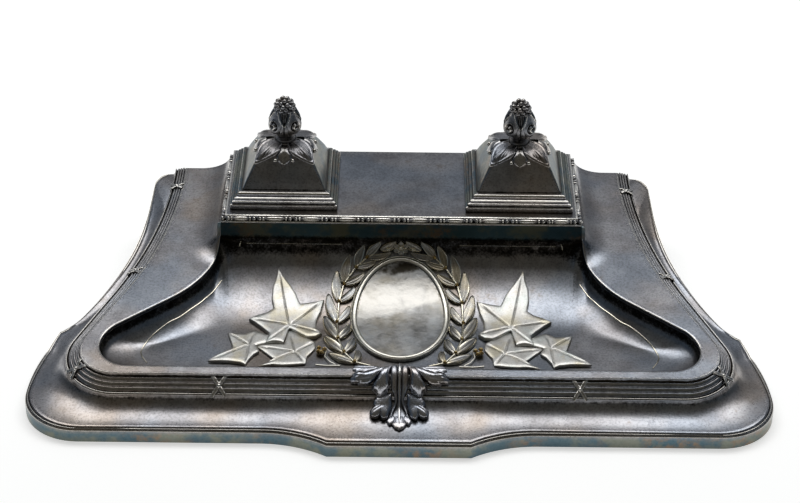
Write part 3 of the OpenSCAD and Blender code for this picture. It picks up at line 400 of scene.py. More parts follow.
# plan of the body: heights with High or Low, radii with R, turns of an edge in degrees with Turn
plan = {
    "width": 360, "depth": 200, "rimHigh": 6, "rimRearHigh": 33, "rimFrontY": -27, "wall": 1.6,
    "cornerR": 28, "earR": 120, "earTurn": 23.6, "notchR": 30, "notchTurn": 60, "sideTurn": 33, "endTurn": 4,
    "rearWidth": 264, "rearR": 9, "tabWidth": 68, "tabOut": 9.3, "tabSweep": 32, "skirt": 18,
    "reed": 8.2, "reedRear": 6, "reedLow": 14, "reedLowRear": 35.2, "reedRearSpan": 231.2,
    "spineCornerR": 18, "spineEarR": 20, "spineTurn": 24, "border": 22, "borderRear": 36.6, "borderWide": 5.2,
    "borderEnd": 8.6, "trayLow": 12, "trayFrontRun": 12, "trayBackRun": 48, "trayBend": 30, "trayCornerR": 15,
    "trayEndR": 20, "traySideTurn": 50, "trayEndTurn": 6, "floorSide": 21, "floorCornerR": 10,
    "floorSideR": 12, "floorTurn": 65, "floorBackR": 30, "deckWidth": 184, "deckDeep": 67, "deckHigh": 48,
    "beadHigh": 3.3, "fasciaHigh": 8.7, "sweepR": 16, "wellSpan": 120.4, "lidWidth": 55, "lidFront": 7.3,
    "lidFrameHigh": 7.8, "lidLip": 44, "lidHigh": 26,
}
rearY = plan["depth"] / 2
frontY = -rearY
cuts = {"front": 7 * finer, "corner": 6 * finer, "ear": 4 * finer, "side": 11 * finer, "rear": 4 * finer}
halfCount = sum(cuts.values())


# A leg is (length, turn, steps, jump): the path turns by jump, then runs on, or bends by turn if that isn't
# zero. Each point of the path is (x, y, heading).
def walkPath(start, heading, legs):
    path = []
    x, y = start
    for leg in legs:
        length, turn, steps = leg[:3]
        heading += leg[3] if len(leg) > 3 else 0
        for k in range(1, steps + 1):
            t = k / steps
            if turn == 0:
                path.append((x + length * t * cosD(heading), y + length * t * sinD(heading), heading))
            else:
                r = length / radians(turn)
                a = turn * t
                path.append((x + r * (sinD(heading + a) - sinD(heading)),
                             y - r * (cosD(heading + a) - cosD(heading)), heading + a))
        x, y, heading = path[-1]
    return path


def bend(r, turn, steps, jump=0):
    return (abs(r * radians(turn)), turn, steps, jump)


def outward(q):
    return sinD(q[2]), -cosD(q[2])


def bodyOutline():
    p = plan
    tabR = (p["tabSweep"] ** 2 + p["tabOut"] ** 2) / (2 * p["tabOut"])
    tabTurn = degrees(asin(p["tabSweep"] / tabR))
    ear, notch, sideTurn, end = p["earTurn"], p["notchTurn"], p["sideTurn"], p["endTurn"]
    earEnd = (p["width"] / 2 - p["earR"] * (1 - cosD(ear)), edgeY + p["cornerR"] + p["earR"] * sinD(ear))
    notchEnd = (earEnd[0] + p["notchR"] * (cosD(notch) - cosD(sideTurn)),
                earEnd[1] + p["notchR"] * (sinD(notch) - sinD(sideTurn)))
    fit = solveTwo(cosD(end) - cosD(sideTurn), sinD(end), sinD(sideTurn) - sinD(end), cosD(end),
                   notchEnd[0] - p["rearWidth"] / 2, rearY - p["rearR"] - notchEnd[1])
    return [(0.0, frontY, 0)] + walkPath((0, frontY), 0, [
        (p["tabWidth"] / 2, 0, finer),
        bend(tabR, -tabTurn, 5 * finer, tabTurn),
        (p["width"] / 2 - p["cornerR"] - p["tabWidth"] / 2 - p["tabSweep"], 0, finer),
        bend(p["cornerR"], 90, cuts["corner"]),
        bend(p["earR"], ear, cuts["ear"]),
        bend(p["notchR"], sideTurn - notch, 3 * finer, notch - ear),
        bend(fit[0], end - sideTurn, 7 * finer),
        (fit[1], 0, finer),
        bend(p["rearR"], 90 - end, cuts["rear"])])


edgeY = frontY + plan["tabOut"]
outline = bodyOutline()
frontShare = [q[0] / outline[cuts["front"]][0] for q in outline[:cuts["front"] + 1]]
spineX = plan["width"] / 2 - plan["skirt"] - plan["reed"] + 0.2
spineY = edgeY + plan["skirt"] + plan["reed"] - 0.2


# The spine is the line on which the reeds meet the border
def spinePath():
    r1, r2, a = plan["spineCornerR"], plan["spineEarR"], plan["spineTurn"]
    e = (spineX - r2 * (1 - cosD(a)), spineY + r1 + r2 * sinD(a))
    fit = solveTwo(sinD(a), 1 - cosD(a), cosD(a), sinD(a), e[0] - plan["reedRearSpan"] / 2, rearY - e[1])
    return [(t * (spineX - r1), spineY, 0) for t in frontShare] + walkPath((spineX - r1, spineY), 0, [
        bend(r1, 90, cuts["corner"]), bend(r2, a, cuts["ear"]), (fit[0], 0, finer),
        bend(fit[1], -a, cuts["side"] + cuts["rear"] - finer)])


spine = spinePath()


# The lip is the line on which the reeds meet the skirt
def lipPath():
    tail = cuts["side"] + cuts["rear"]
    path = []
    for i, s in enumerate(spine):
        w = mix(plan["reed"], plan["reedRear"], clamp((i - halfCount + tail) / tail))
        v = outward(s)
        path.append((s[0] + v[0] * w, min(s[1] + v[1] * w, rearY)))
    return path


lip = lipPath()
trayX = spineX - plan["borderEnd"]
trayY = spineY + plan["borderWide"]
deckY = rearY - plan["deckDeep"]
deckHalf = plan["deckWidth"] / 2


def trayEdgePath():
    a, endA = plan["traySideTurn"], plan["trayEndTurn"]
    c, r = plan["trayCornerR"], plan["trayEndR"]
    fit = solveTwo(sinD(a), cosD(endA) - cosD(a), cosD(a), sinD(a) - sinD(endA),
                   trayX - r * (1 - cosD(a)) - deckHalf, deckY - trayY - c - r * sinD(a))
    return [(t * (trayX - c), trayY, 0) for t in frontShare] + walkPath((trayX - c, trayY), 0, [
        bend(c, 90, cuts["corner"]), bend(r, a, cuts["ear"]), (fit[0], 0, 2 * finer),
        bend(fit[1], endA - a, 5 * finer)])


trayEdge = trayEdgePath()
edgeCount = len(trayEdge) - 1
besideCount = halfCount - edgeCount
plateEdge = trayEdge + [(deckHalf, mix(deckY, rearY, k / besideCount), 90) for k in range(1, besideCount + 1)]

lipSlope = (plan["reedLowRear"] - plan["reedLow"]) / (rearY - spineY + plan["reed"])
borderSlope = (plan["borderRear"] - plan["border"]) / (rearY - spineY)
mouldingZ = plan["deckHigh"] - plan["beadHigh"]
fasciaZ = mouldingZ - plan["fasciaHigh"]


def lipHeight(y):
    return plan["reedLow"] + lipSlope * (y - spineY + plan["reed"])


def rimHeight(y):
    front = plan["rimFrontY"]
    return plan["rimHigh"] + (plan["rimRearHigh"] - plan["rimHigh"]) * clamp((y - front) / (rearY - front))


def borderHeight(y):
    return plan["border"] + borderSlope * (y - spineY)


# How far a point of the wing lies from the platform's corner
def cornerReach(x, y):
    return hypot(max(x - deckHalf, 0), max(deckY - y, 0))


def wingHeight(x, y):
    s = clamp(1 - cornerReach(x, y) / plan["sweepR"])
    b = borderHeight(y)
    return b + (mouldingZ - b) * (1 - sqrt(max(0.0, 1 - s * s)))


# skirt
skirt = {
    # across the foot: rounded rim, groove, bead, groove, then the start of the hollow, as (in, up, wear)
    "foot": [(0.0, 0.0, 0.55), (0.03, 0.3, 0.8), (0.15, 0.62, 1.0), (0.35, 0.78, 1.0), (0.6, 0.72, 0.8),
             (0.78, 0.42, 0.2), (0.92, 0.4, 0.15), (1.05, 0.8, 0.5), (1.3, 1.15, 0.95), (1.62, 1.24, 0.95),
             (1.95, 1.08, 0.5), (2.15, 0.66, 0.15), (2.35, 0.6, 0.12), (2.5, 0.95, 0.4), (2.7, 1.3, 0.5)],
    "footWide": 3, "footHigh": 1.5, "fullFoot": 10,
     # the foot shrinks where the skirt is narrower than fullFoot
    "upright": [(0, 0.2), (0.25, 0.3), (0.7, 0.45)],  # up the outside: share of the rim's height and wear
    "steps": 22, "underSteps": 4,
}


def skirtSection(i):
    o, l = outline[i][:2], lip[i]
    d = hypot(l[0] - o[0], l[1] - o[1])
    n = ((l[0] - o[0]) / d, (l[1] - o[1]) / d)
    zr, zl = rimHeight(o[1]), lipHeight(l[1])
    k = min(1, d / skirt["fullFoot"])
    zb, w = zr + skirt["footHigh"] * k, min(plan["wall"], d * 0.4)
    row, wear = [], []

    def put(u, z, worn):
        row.append((o[0] + n[0] * u, o[1] + n[1] * u, z))
        wear.append(worn)

    def putHollow(a, drop, worn):
        put(mix(skirt["footWide"] * k, d, sinD(a)), mix(zb, zl, 1 - cosD(a)) - drop, worn)

    for share, worn in skirt["upright"]:
        put(0, zr * share, worn)
    for u, z, worn in skirt["foot"]:
        put(u * k, zr + z * k, worn)
    for j in range(skirt["steps"] + 1):
        t = j / skirt["steps"]
        # painted shade: the hollow darkens to near-black as it turns steep under the reeds' lip, with tarnish
        # there too
        putHollow(90 * j / skirt["steps"], 0, 0.52 - 0.4 * smooth(0.6, 1.0, t))
    for j in range(skirt["underSteps"], -1, -1):
        putHollow(90 / skirt["underSteps"] * j, plan["wall"], 0.2)
    put(w, zr - 0.6, 0.2)
    put(w, 0, 0.2)
    return row, wear


def makeSkirt():
    shape = newShape()
    rows, wearAndShadings = zip(*(skirtSection(i) for i in range(halfCount + 1)))
    addBothHalves(shape, list(rows), list(wearAndShadings))
    # the rim's upright outer face carries a painted reflection of the coloured surroundings
    makeObject("skirt", shape, silverPlate, "stand", ["base_skirt"], sharp=50,
               film=lambda x, y, z: 0.85 * smooth(0.4, -0.4, z - rimHeight(y)))


# reeded moulding: shares of the way from the lip to the spine, heights in millimetres
reeding = {"count": 3, "first": 0.2, "last": 0.86, "bump": 0.8, "lipBump": 0.9, "steps": 9,
           "rise": (0.1, 0.72), "groove": -0.55}


# Rows of (share across, share of the rise, height above the slope, wear with painted shade)
def reedProfile():
    r = reeding
    out = [(0.0, 0.0, 0.0, 0.4)]
    for j in range(r["steps"] + 1):
        a = 180 * j / r["steps"]
        out.append((0.07 - 0.065 * cosD(a), 0.04 - 0.035 * cosD(a), r["lipBump"] * sinD(a) ** 0.8,
                    0.25 + 0.6 * sinD(a) ** 2))
    out.append((0.165, 0.09, -0.15, 0.0))
    w = (r["last"] - r["first"]) / r["count"]
    for k in range(r["count"]):
        for j in range(r["steps"] + 1):
            a = 180 * j / r["steps"]
            t = k + 0.5 - 0.47 * cosD(a)
            out.append((r["first"] + w * t, mix(*r["rise"], t / r["count"]), r["bump"] * sinD(a) ** 0.8 - 0.1,
                        0.02 + 0.8 * sinD(a) ** 2))
        if k < r["count"] - 1:
            # the grooves between the reeds are near-black: tarnish and painted shade
            out.append((r["first"] + w * (k + 1), mix(*r["rise"], (k + 1) / r["count"]), r["groove"], 0.0))
    # the step under the border's edge is near-black, a painted shadow, and the edge above it pale, a painted
    # highlight
    out += [(0.872, 0.72, -0.3, 0.0), (0.885, 0.74, -0.2, 0.0), (0.893, 0.9, 0.0, 0.1),
            (0.9, 0.975, 0.0, 0.6),
            (0.92, 0.995, 0.0, 0.75), (0.95, 1.0, 0.0, 0.6), (1.0, 1.0, 0.0, 0.5)]
    return out


def makeReeds():
    shape = newShape()
    line = reedProfile() + [(t, rise, -plan["wall"], 0.2) for t, rise in ((1, 1), (0.86, 0.72), (0, 0))]
    rows = []
    for l, s in zip(lip, spine):
        zl, zs = lipHeight(l[1]), borderHeight(s[1])
        rows.append([(mix(l[0], s[0], t), mix(l[1], s[1], t), mix(zl, zs, rise) + lift)
                     for t, rise, lift, _ in line])
    addBothHalves(shape, rows, [[w for _, _, _, w in line]] * len(rows))
    makeObject("reeded_moulding", shape, silverPlate, "stand", ["reed_moulding"], sharp=60)


# border and wings, and the rounded edge where they turn down into the tray: (share of the wall, drop, wear
# with painted highlight)
borderPlate = {
    "columns": 30,
    "edge": [(0.72, 0.0, 0.55), (0.45, 0.03, 0.7), (0.2, 0.12, 0.85), (0.05, 0.3, 0.7), (0.0, 0.55, 0.5)],
}


def makeBorder():
    shape = newShape()
    rows, wearAndShadings = [], []
    wall, columns = plan["wall"], borderPlate["columns"]
    for s, e in zip(spine, plateEdge):
        v = outward(e)
        f = (e[0] + v[0] * wall, e[1] + v[1] * wall)
        row, wear = [], []
        for c in range(columns + 1):
            t = 1 - (1 - c / columns) ** 1.5
            x, y = mix(s[0], f[0], t), min(mix(s[1], f[1], t), rearY)
            row.append((x, y, wingHeight(x, y)))
            near = min(t, 1 - t) * hypot(f[0] - s[0], f[1] - s[1])
            # painted highlights along both edges of the border, and painted shade in the hollow where the
            # wing sweeps up to the platform's corner, which takes the shine off it there
            cornerShade = smooth(plan["sweepR"], 0, cornerReach(x, y)) * smooth(deckY + 8, deckY - 2, y)
            wear.append(0.5 + 0.15 * hump(near, 0, 0.6) - 0.4 * cornerShade)
        for share, drop, worn in borderPlate["edge"]:
            x, y = e[0] + v[0] * wall * share, min(e[1] + v[1] * wall * share, rearY)
            row.append((x, y, wingHeight(x, y) - drop))
            wear.append(worn)
        under = [(x, y, wingHeight(x, y) - wall) for x, y, _ in row[::-4]]
        rows.append(row + under)
        wearAndShadings.append(wear + [0.2] * len(under))
    addBothHalves(shape, rows, wearAndShadings)
    makeObject("border_and_wings", shape, silverPlate, "stand", ["border_plate"], sharp=60)


# pen tray
floorY = trayY + plan["trayFrontRun"]
floorBackY = deckY - plan["trayBackRun"]
floorX = trayX - plan["floorSide"]
backFit = solveTwo(sinD(plan["trayBend"]), 1 - sinD(plan["trayBend"]), 1 - cosD(plan["trayBend"]),
                   cosD(plan["trayBend"]), plan["trayBackRun"], fasciaZ - plan["trayLow"])


# The tray's rear wall bends up in two arcs. At angle a of its slope these are the shares of its run and rise.
def wallRun(a):
    b = plan["trayBend"]
    run = backFit[0] * sinD(min(a, b))
    if a > b:
        run += backFit[1] * (sinD(a) - sinD(b))
    return run / plan["trayBackRun"]


def wallRise(a):
    b = plan["trayBend"]
    rise = backFit[0] * (1 - cosD(min(a, b)))
    if a > b:
        rise += backFit[1] * (cosD(b) - cosD(a))
    return rise / (fasciaZ - plan["trayLow"])


def floorPath():
    r1, r2, r3, a = plan["floorCornerR"], plan["floorSideR"], plan["floorBackR"], plan["floorTurn"]
    run = (floorBackY - floorY - r1 - r2 * sinD(a) - r3 * (1 - cosD(90 - a))) / cosD(a)
    return [(t * (floorX - r1), floorY, 0) for t in frontShare] + walkPath((floorX - r1, floorY), 0, [
        bend(r1, 90, cuts["corner"]), bend(r2, a, cuts["ear"]), (run, 0, 3 * finer),
        bend(r3, 90 - a, 4 * finer)])


# "smooth" says how often, and over how many sections on each side, the corner to the rear wall is evened out
trayCuts = {"back": 40, "slope": 3, "under": 6, "smooth": (60, 9)}


def traySections():
    low = floorPath()
    shares = [0.996 - 0.996 * k / trayCuts["back"] for k in range(trayCuts["back"] + 1)]
    top = trayEdge + [(t * deckHalf, deckY, 180) for t in shares]
    low += [(t * low[edgeCount][0], floorBackY, 180) for t in shares]
    angles = [90 - trayCuts["slope"] * k for k in range(90 // trayCuts["slope"] + 1)]
    wall = plan["wall"]
    rows, wearAndShadings = [], []
    for i, (e, f) in enumerate(zip(top, low)):
        v = outward(e)
        zt = mouldingZ if i > edgeCount else wingHeight(e[0], e[1]) - 0.5
        zk = min(fasciaZ, zt - wall)
        row, wear = [], []
        for a in reversed(angles):
            row.append((mix(f[0], e[0], wallRun(a)), mix(f[1], e[1], wallRun(a)),
                        mix(plan["trayLow"], zk, wallRise(a))))
            # painted shade: the walls darken to near-black as they steepen towards the top
            wear.append(0.5 - 0.42 * smooth(40, 68, a))
        row += [(e[0], e[1], mix(zk, zt, t)) for t in (0.35, 0.7, 1.0)]
        row.append((e[0] + v[0] * wall, e[1] + v[1] * wall, zt))
        wear += [0.45, 0.35, 0.2, 0.2]
        for a in angles[::trayCuts["under"]]:
            row.append((mix(f[0], e[0], wallRun(a)) + v[0] * wall * sinD(a),
                        mix(f[1], e[1], wallRun(a)) + v[1] * wall * sinD(a),
                        mix(plan["trayLow"], zk, wallRise(a)) - wall * cosD(a)))
            wear.append(0.2)
        rows.append(row)
        wearAndShadings.append(wear)
    return rows, wearAndShadings


# Below the top edge the side wall runs round into the rear wall without a crease
def evenCorner(rows):
    passes, reach = trayCuts["smooth"]
    for _ in range(passes):
        for i in range(edgeCount - reach, edgeCount + reach):
            near = 1 - abs(i - edgeCount) / (reach + 1)
            for c, (x, y, z) in enumerate(rows[i]):
                share = 0.5 * near * smooth(fasciaZ - 0.5, fasciaZ - 9, z)
                a, b = rows[i - 1][c], rows[i + 1][c]
                rows[i][c] = (mix(x, (a[0] + b[0]) / 2, share), mix(y, (a[1] + b[1]) / 2, share), z)


def makeTray():
    shape = newShape()
    rows, wearAndShadings = traySections()
    evenCorner(rows)
    loop = rows + [[(-x, y, z) for x, y, z in r] for r in rows[-2:0:-1]]
    addGrid(shape, loop, wearAndShadings + wearAndShadings[-2:0:-1], closeRows=True)
    m, n = len(loop[0]), len(loop)
    midY = (floorY + floorBackY) / 2
    for column, z, turn in ((0, plan["trayLow"], False), (m - 1, plan["trayLow"] - plan["wall"], True)):
        inner = len(shape["points"])
        for r in loop:
            addPoint(shape, (r[column][0] * 0.985, mix(midY, r[column][1], 0.95), z), 0.5)
        middle = addPoint(shape, (0, midY, z), 0.5)
        for i in range(n):
            k = (i + 1) % n
            quad = (i * m + column, k * m + column, inner + k, inner + i)
            shape["faces"].append(quad[::-1] if turn else quad)
        addFan(shape, inner, n, middle, flip=turn)

    # painted reflection of the coloured surroundings on the upright face under the moulding
    def onFace(x, y, z):
        return smooth(fasciaZ - 1.2, fasciaZ + 0.2, z) * smooth(deckY - 2, deckY - 0.5, y)

    makeObject("pen_tray_dressed", shape, silverPlate, "stand", ["pen_tray"], sharp=50,
               film=onFace)


floorLong = floorBackY - floorY
bendLong = backFit[0] * radians(plan["trayBend"])


# A point x across and s along the tray from the front of its floor, h above the metal
def onTray(x, s, h):
    if s < floorLong:
        a = 0
    elif s < floorLong + bendLong:
        a = degrees((s - floorLong) / backFit[0])
    else:
        a = min(90, plan["trayBend"] + degrees((s - floorLong - bendLong) / backFit[1]))
    y = floorY + s if s < floorLong else floorBackY + plan["trayBackRun"] * wallRun(a)
    z = plan["trayLow"] + (fasciaZ - plan["trayLow"]) * wallRise(a)
    return (x, y - h * sinD(a), z + h * cosD(a))


# A drawn line on the tray, from the platform's corner round to the front, and one under the upright face
trayLine = {
    "points": [(81.9, 32.8, 33.8), (82.5, 32.4, 31.7), (83.5, 30.9, 28.3), (85.4, 27.6, 24.4),
               (87.3, 24.8, 22.5),
               (91.0, 18.1, 19.6), (95.0, 9.6, 17.9), (98.1, 4.3, 17.8), (100.8, 0.1, 17.5),
               (105.4, -5.6, 17.2),
               (109.9, -10.7, 16.4), (114.6, -14.6, 16.1), (119.1, -19.4, 15.1), (122.7, -23.9, 14.0),
               (125.3, -28.1, 12.7), (126.8, -32.5, 12.2), (127.0, -35.7, 12.1), (125.6, -39.7, 12.0),
               (123.2, -43.8, 12.0)],
    "backAt": 87.4, "back": (30.0, 79.0), "backCuts": 12, "r": 0.34, "lift": 0.12,
}


def makeTrayLine():
    shape = newShape()
    t = trayLine
    side = [(x, y, z + t["lift"]) for x, y, z in smoothLine(t["points"], 3)]
    back = [onTray(mix(*t["back"], k / t["backCuts"]), t["backAt"],
                   t["lift"]) for k in range(t["backCuts"] + 1)]
    addTube(shape, side, t["r"], steps=8, wear=0.7)
    addTube(shape, back, t["r"], steps=8, wear=0.4)
    mirrorShape(shape)
    makeObject("tray_lines", shape, brightPlate, "stand", [], merge=False)


# bead and reel
beadAndReel = {
    "groups": 9, "beadR": 1.15, "reelR": 1.12, "spread": 1.5, "gap": 0.25, "shortest": 2, "steps": 12,
    # across the moulding: (share of its depth, share of its height, wear)
    "line": [(0, 0, 0.3), (0.0, 0.1, 0.6), (0.03, 0.2, 0.9), (0.12, 0.26, 0.9), (0.22, 0.22, 0.3),
             (0.25, 0.12, 0.1),
             (0.55, 0.2, 0.05), (0.6, 0.5, 0.1), (0.62, 0.84, 0.5), (0.68, 0.97, 0.9), (0.8, 1.0, 0.9),
             (1, 1, 0.5),
             (1, 0, 0.2)],
    # half of a reel: (share of its length, share of its radius, wear)
    "reel": [(0, 0.2, 0.1), (0, 0.75, 0.5), (0.03, 0.95, 0.9), (0.07, 0.95, 0.9), (0.1, 0.6, 0.1),
             (0.14, 0.72, 0.5),
             (0.22, 0.9, 0.7), (0.35, 1.04, 0.85), (0.5, 1.1, 0.9)],
}


# A turned form: profile rows are (radius, along, wear), set in space by place(x, y, z)
def addTurned(shape, profile, place, steps=16):
    rows, wearAndShadings = [], []
    for r, along, worn in profile:
        rows.append([place(r * cos(2 * pi * k / steps), r * sin(2 * pi * k / steps),
                           along) for k in range(steps)])
        wearAndShadings.append([worn] * steps)
    addGrid(shape, rows, wearAndShadings, closeRow=True)


def ballProfile(r, worn=0.9, low=-90, high=90, steps=8):
    out = []
    for k in range(steps + 1):
        a = mix(low, high, k / steps)
        out.append((max(0.001, r * cosD(a)), r * sinD(a), worn * (0.35 + 0.65 * smooth(-0.6, 0.5, sinD(a)))))
    return out


def reelProfile(length):
    out = [(r * beadAndReel["reelR"], u * length, w) for u, r, w in beadAndReel["reel"]]
    return out + [(r, length - a, w) for r, a, w in reversed(out[:-1])]


# Beads in pairs with a reel between them, along a run in which at(d) is the point d along it. The run goes
# back along y if turned says so, and across along x if not.
def addBeadRun(shape, at, turned, groups):
    b = beadAndReel

    def seat(d):
        def place(x, y, s):
            px, py = at(d)
            z = mouldingZ + plan["beadHigh"] * 0.55
            return (px + y, py + s, z + x) if turned else (px + s, py + y, z + x)
        return place

    for g in groups:
        for side in (-1, 1):
            addTurned(shape, ballProfile(b["beadR"]), seat(g + side * b["spread"]), b["steps"])
    for g, following in zip(groups, groups[1:]):
        low, high = g + b["spread"] + b["beadR"] + b["gap"], following - b["spread"] - b["beadR"] - b["gap"]
        if high - low > b["shortest"]:
            addTurned(shape, reelProfile(high - low), seat(low), b["steps"])


def makeBeadMoulding():
    b = beadAndReel
    shape = newShape()
    w, h = deckHalf, plan["beadHigh"]
    corners = [(-1, rearY, 0), (-1, deckY, 1), (1, deckY, 1), (1, rearY, 0)]
    rows = [[(cx * (w - t * h), cy + c * t * h, mouldingZ + z * h) for t, z, _ in b["line"]]
            for cx, cy, c in corners]
    full = [rows[0]]
    for a, c in zip(rows, rows[1:]):
        full += [[mixPoint(p, q, k / 12) for p, q in zip(a, c)] for k in range(1, 13)]
    addGrid(shape, full, [z for _, _, z in b["line"]], closeRow=True, capEnds=True)
    inset = h * 0.4
    pitch = plan["deckWidth"] / (b["groups"] + 1)
    front = [k * pitch for k in range(-5, 6)]
    front[0], front[-1] = -w + inset + 1.0, w - inset - 1.0
    addBeadRun(shape, lambda d: (d, deckY + inset), False, front)
    back = [deckY + inset + 4.2 + k * pitch for k in range(4)]
    for side in (-1, 1):
        addBeadRun(shape, lambda d, side=side: (side * (w - inset), d), True, back)
    makeObject("bead_and_reel", shape, dullPlate, "stand", ["bead_moulding"], sharp=50,
               merge=False)


makeSkirt()
makeReeds()
makeBorder()
makeTray()
makeBeadMoulding()
print("body made")


# ribbon ties: places are counted along the half outline, in the stretches of the CAD source
ribbon = {"places": [6.35, 10.9, 20.8, 29.95], "wide": 1.7, "thick": 0.55, "cross": 32, "lift": 0.95,
          "steps": 12,
          # across the band: (share of its width, share of its thickness, wear)
          "ring": [(-0.5, 0.0, 0.1), (-0.5, 0.6, 0.5), (-0.38, 0.95, 1.0), (-0.15, 1.0, 0.8), (0, 0.86, 0.35),
                   (0.15, 1.0, 0.8), (0.38, 0.95, 1.0), (0.5, 0.6, 0.5), (0.5, 0.0, 0.1)]}


def alongHalf(path, place):
    i = place * finer
    k = int(i)
    return mixPoint(path[k], path[min(k + 1, halfCount)], i - k)


# A soft-edged band along a line of (point, side, up)
def addBand(shape, line):
    wide, thick = ribbon["wide"], ribbon["thick"]
    rows = [[tuple(p[c] + side[c] * u * wide + up[c] * h * thick for c in range(3))
             for u, h, _ in ribbon["ring"]] for p, side, up in line]
    addGrid(shape, rows, [w for _, _, w in ribbon["ring"]], closeRow=True, capEnds=True)


def makeRibbons():
    shape = newShape()
    turnSin, turnCos = sinD(ribbon["cross"]), cosD(ribbon["cross"])
    for place in ribbon["places"]:
        l, s = alongHalf(lip, place), alongHalf([q[:2] for q in spine], place)
        zl, zs = lipHeight(l[1]), borderHeight(s[1])
        dx, dy = s[0] - l[0], s[1] - l[1]
        across = unit((dx, dy, (zs - zl) * 0.72))
        flat = unit((dx, dy, 0))
        along = (-flat[1], flat[0], 0)
        up = unit((across[1] * along[2] - across[2] * along[1], across[2] * along[0] - across[0] * along[2],
                   across[0] * along[1] - across[1] * along[0]))
        if up[2] < 0:
            up = tuple(-c for c in up)
        length = hypot(dx, dy) / max(0.2, hypot(across[0], across[1]))
        start = (l[0], l[1], zl)
        for turn in (-1, 1):
            side = unit(tuple(along[c] * turnCos - turn * across[c] * turnSin for c in range(3)))
            line = []
            for k in range(ribbon["steps"] + 1):
                t = k / ribbon["steps"]
                u = (t - 0.5) * length * 1.02
                w = turn * u * turnSin / turnCos
                # over each reed the ribbon rides up, between them it sags, and one band lies over the other
                h = ribbon["lift"] + 0.14 * cos(2 * pi * (t - 0.06) * 4)
                h += (0.25 if turn > 0 else 0) * hump(t, 0.5, 0.16)
                h -= 0.5 * hump(t, 0, 0.06) + 0.3 * hump(t, 1, 0.05)
                line.append((tuple(start[c] + across[c] * (u + length / 2) + along[c] * w + up[c] * h
                                   for c in range(3)), side, up))
            addBand(shape, line)
        centre = tuple(start[c] + across[c] * length / 2 + up[c] * (ribbon["lift"] + 0.3) for c in range(3))

        def onKnot(x, y, z):
            return tuple(centre[c] + across[c] * x * 1.1 + along[c] * y * 0.9 + up[c] * z * 0.8
                         for c in range(3))

        addTurned(shape, ballProfile(1.0, 1.0, -60, 90, 7), onKnot, 14)
    mirrorShape(shape)
    makeObject("ribbon_ties_dressed", shape, dullPlate, "stand", ["ribbon_ties"], sharp=60,
               merge=False)


# leaves: rings of points from the middle of a leaf to its edge
leafRings = 11


def curveEdge(a, b, bulge, steps):
    mx, my = (a[0] + b[0]) / 2, (a[1] + b[1]) / 2
    cx, cy = mx + (b[1] - a[1]) * bulge, my - (b[0] - a[0]) * bulge
    out = []
    for k in range(steps):
        t = k / steps
        out.append(((1 - t) ** 2 * a[0] + 2 * t * (1 - t) * cx + t * t * b[0],
                    (1 - t) ** 2 * a[1] + 2 * t * (1 - t) * cy + t * t * b[1]))
    return out


def distanceToLine(p, a, b):
    dx, dy = b[0] - a[0], b[1] - a[1]
    t = clamp(((p[0] - a[0]) * dx + (p[1] - a[1]) * dy) / (dx * dx + dy * dy or 1.0))
    return hypot(p[0] - a[0] - dx * t, p[1] - a[1] - dy * t)


# A cast leaf: puffed away from its edge, cut by a vein towards each tip. place(x, s, h) sets a point on the
# piece that carries the leaf.
def addLeaf(shape, place, edge, middle, tips, look):
    n = len(edge)
    sides = list(zip(edge, edge[1:] + edge[:1]))
    base = look["base"]

    def heightAt(x, s, r):
        inside = min(distanceToLine((x, s), a, b) for a, b in sides)
        near = min(distanceToLine((x, s), middle, t) for t in tips) if tips else 9
        groove = exp(-((near / look["veinWide"]) ** 2)) * smooth(0.0, 0.12, r)
        groove *= 1 - 0.6 * smooth(0.75, 1.0, r)
        if look.get("round"):
            full = sqrt(max(0.0, 1 - r ** 2.2))
        else:
            full = sqrt(max(0.0, 1 - (1 - clamp(inside / look["fall"])) ** 2))
        if "swell" in look:
            full += look["swell"] * hump(s, *look["swellAt"]) * smooth(1.0, 0.7, r)
        worn = 0.5 + 0.12 * full - 0.4 * groove + look["edgeWear"] * hump(inside, 0.3, 0.35)
        return base + look["lift"] + look["puff"] * full - look["vein"] * groove, clamp(worn)

    rows, wearAndShadings = [], []
    for r in [(k / leafRings) ** 0.85 for k in range(1, leafRings)] + [0.96, 0.985, 1.0]:
        row, worn = [], []
        for p in edge:
            x, s = mix(middle[0], p[0], r), mix(middle[1], p[1], r)
            h, w = heightAt(x, s, r)
            row.append(place(x, s, max(base, h)))
            worn.append(w)
        rows.append(row)
        wearAndShadings.append(worn)
    rows.append([place(*p, base) for p in edge])
    wearAndShadings.append([0.05] * n)
    start = addGrid(shape, rows, wearAndShadings, closeRow=True)
    top = addPoint(shape, place(*middle, heightAt(*middle, 0.1)[0]), 0.3)
    addFan(shape, start, n, top, flip=True)
    addFan(shape, start + (len(rows) - 1) * n, n, addPoint(shape, place(*middle, base), 0.0))


# An outline that bulges a little between its corners
def lobedOutline(corners, bulge, steps):
    out = []
    for a, b in zip(corners, corners[1:] + corners[:1]):
        out += curveEdge(a, b, bulge, steps)
    return out


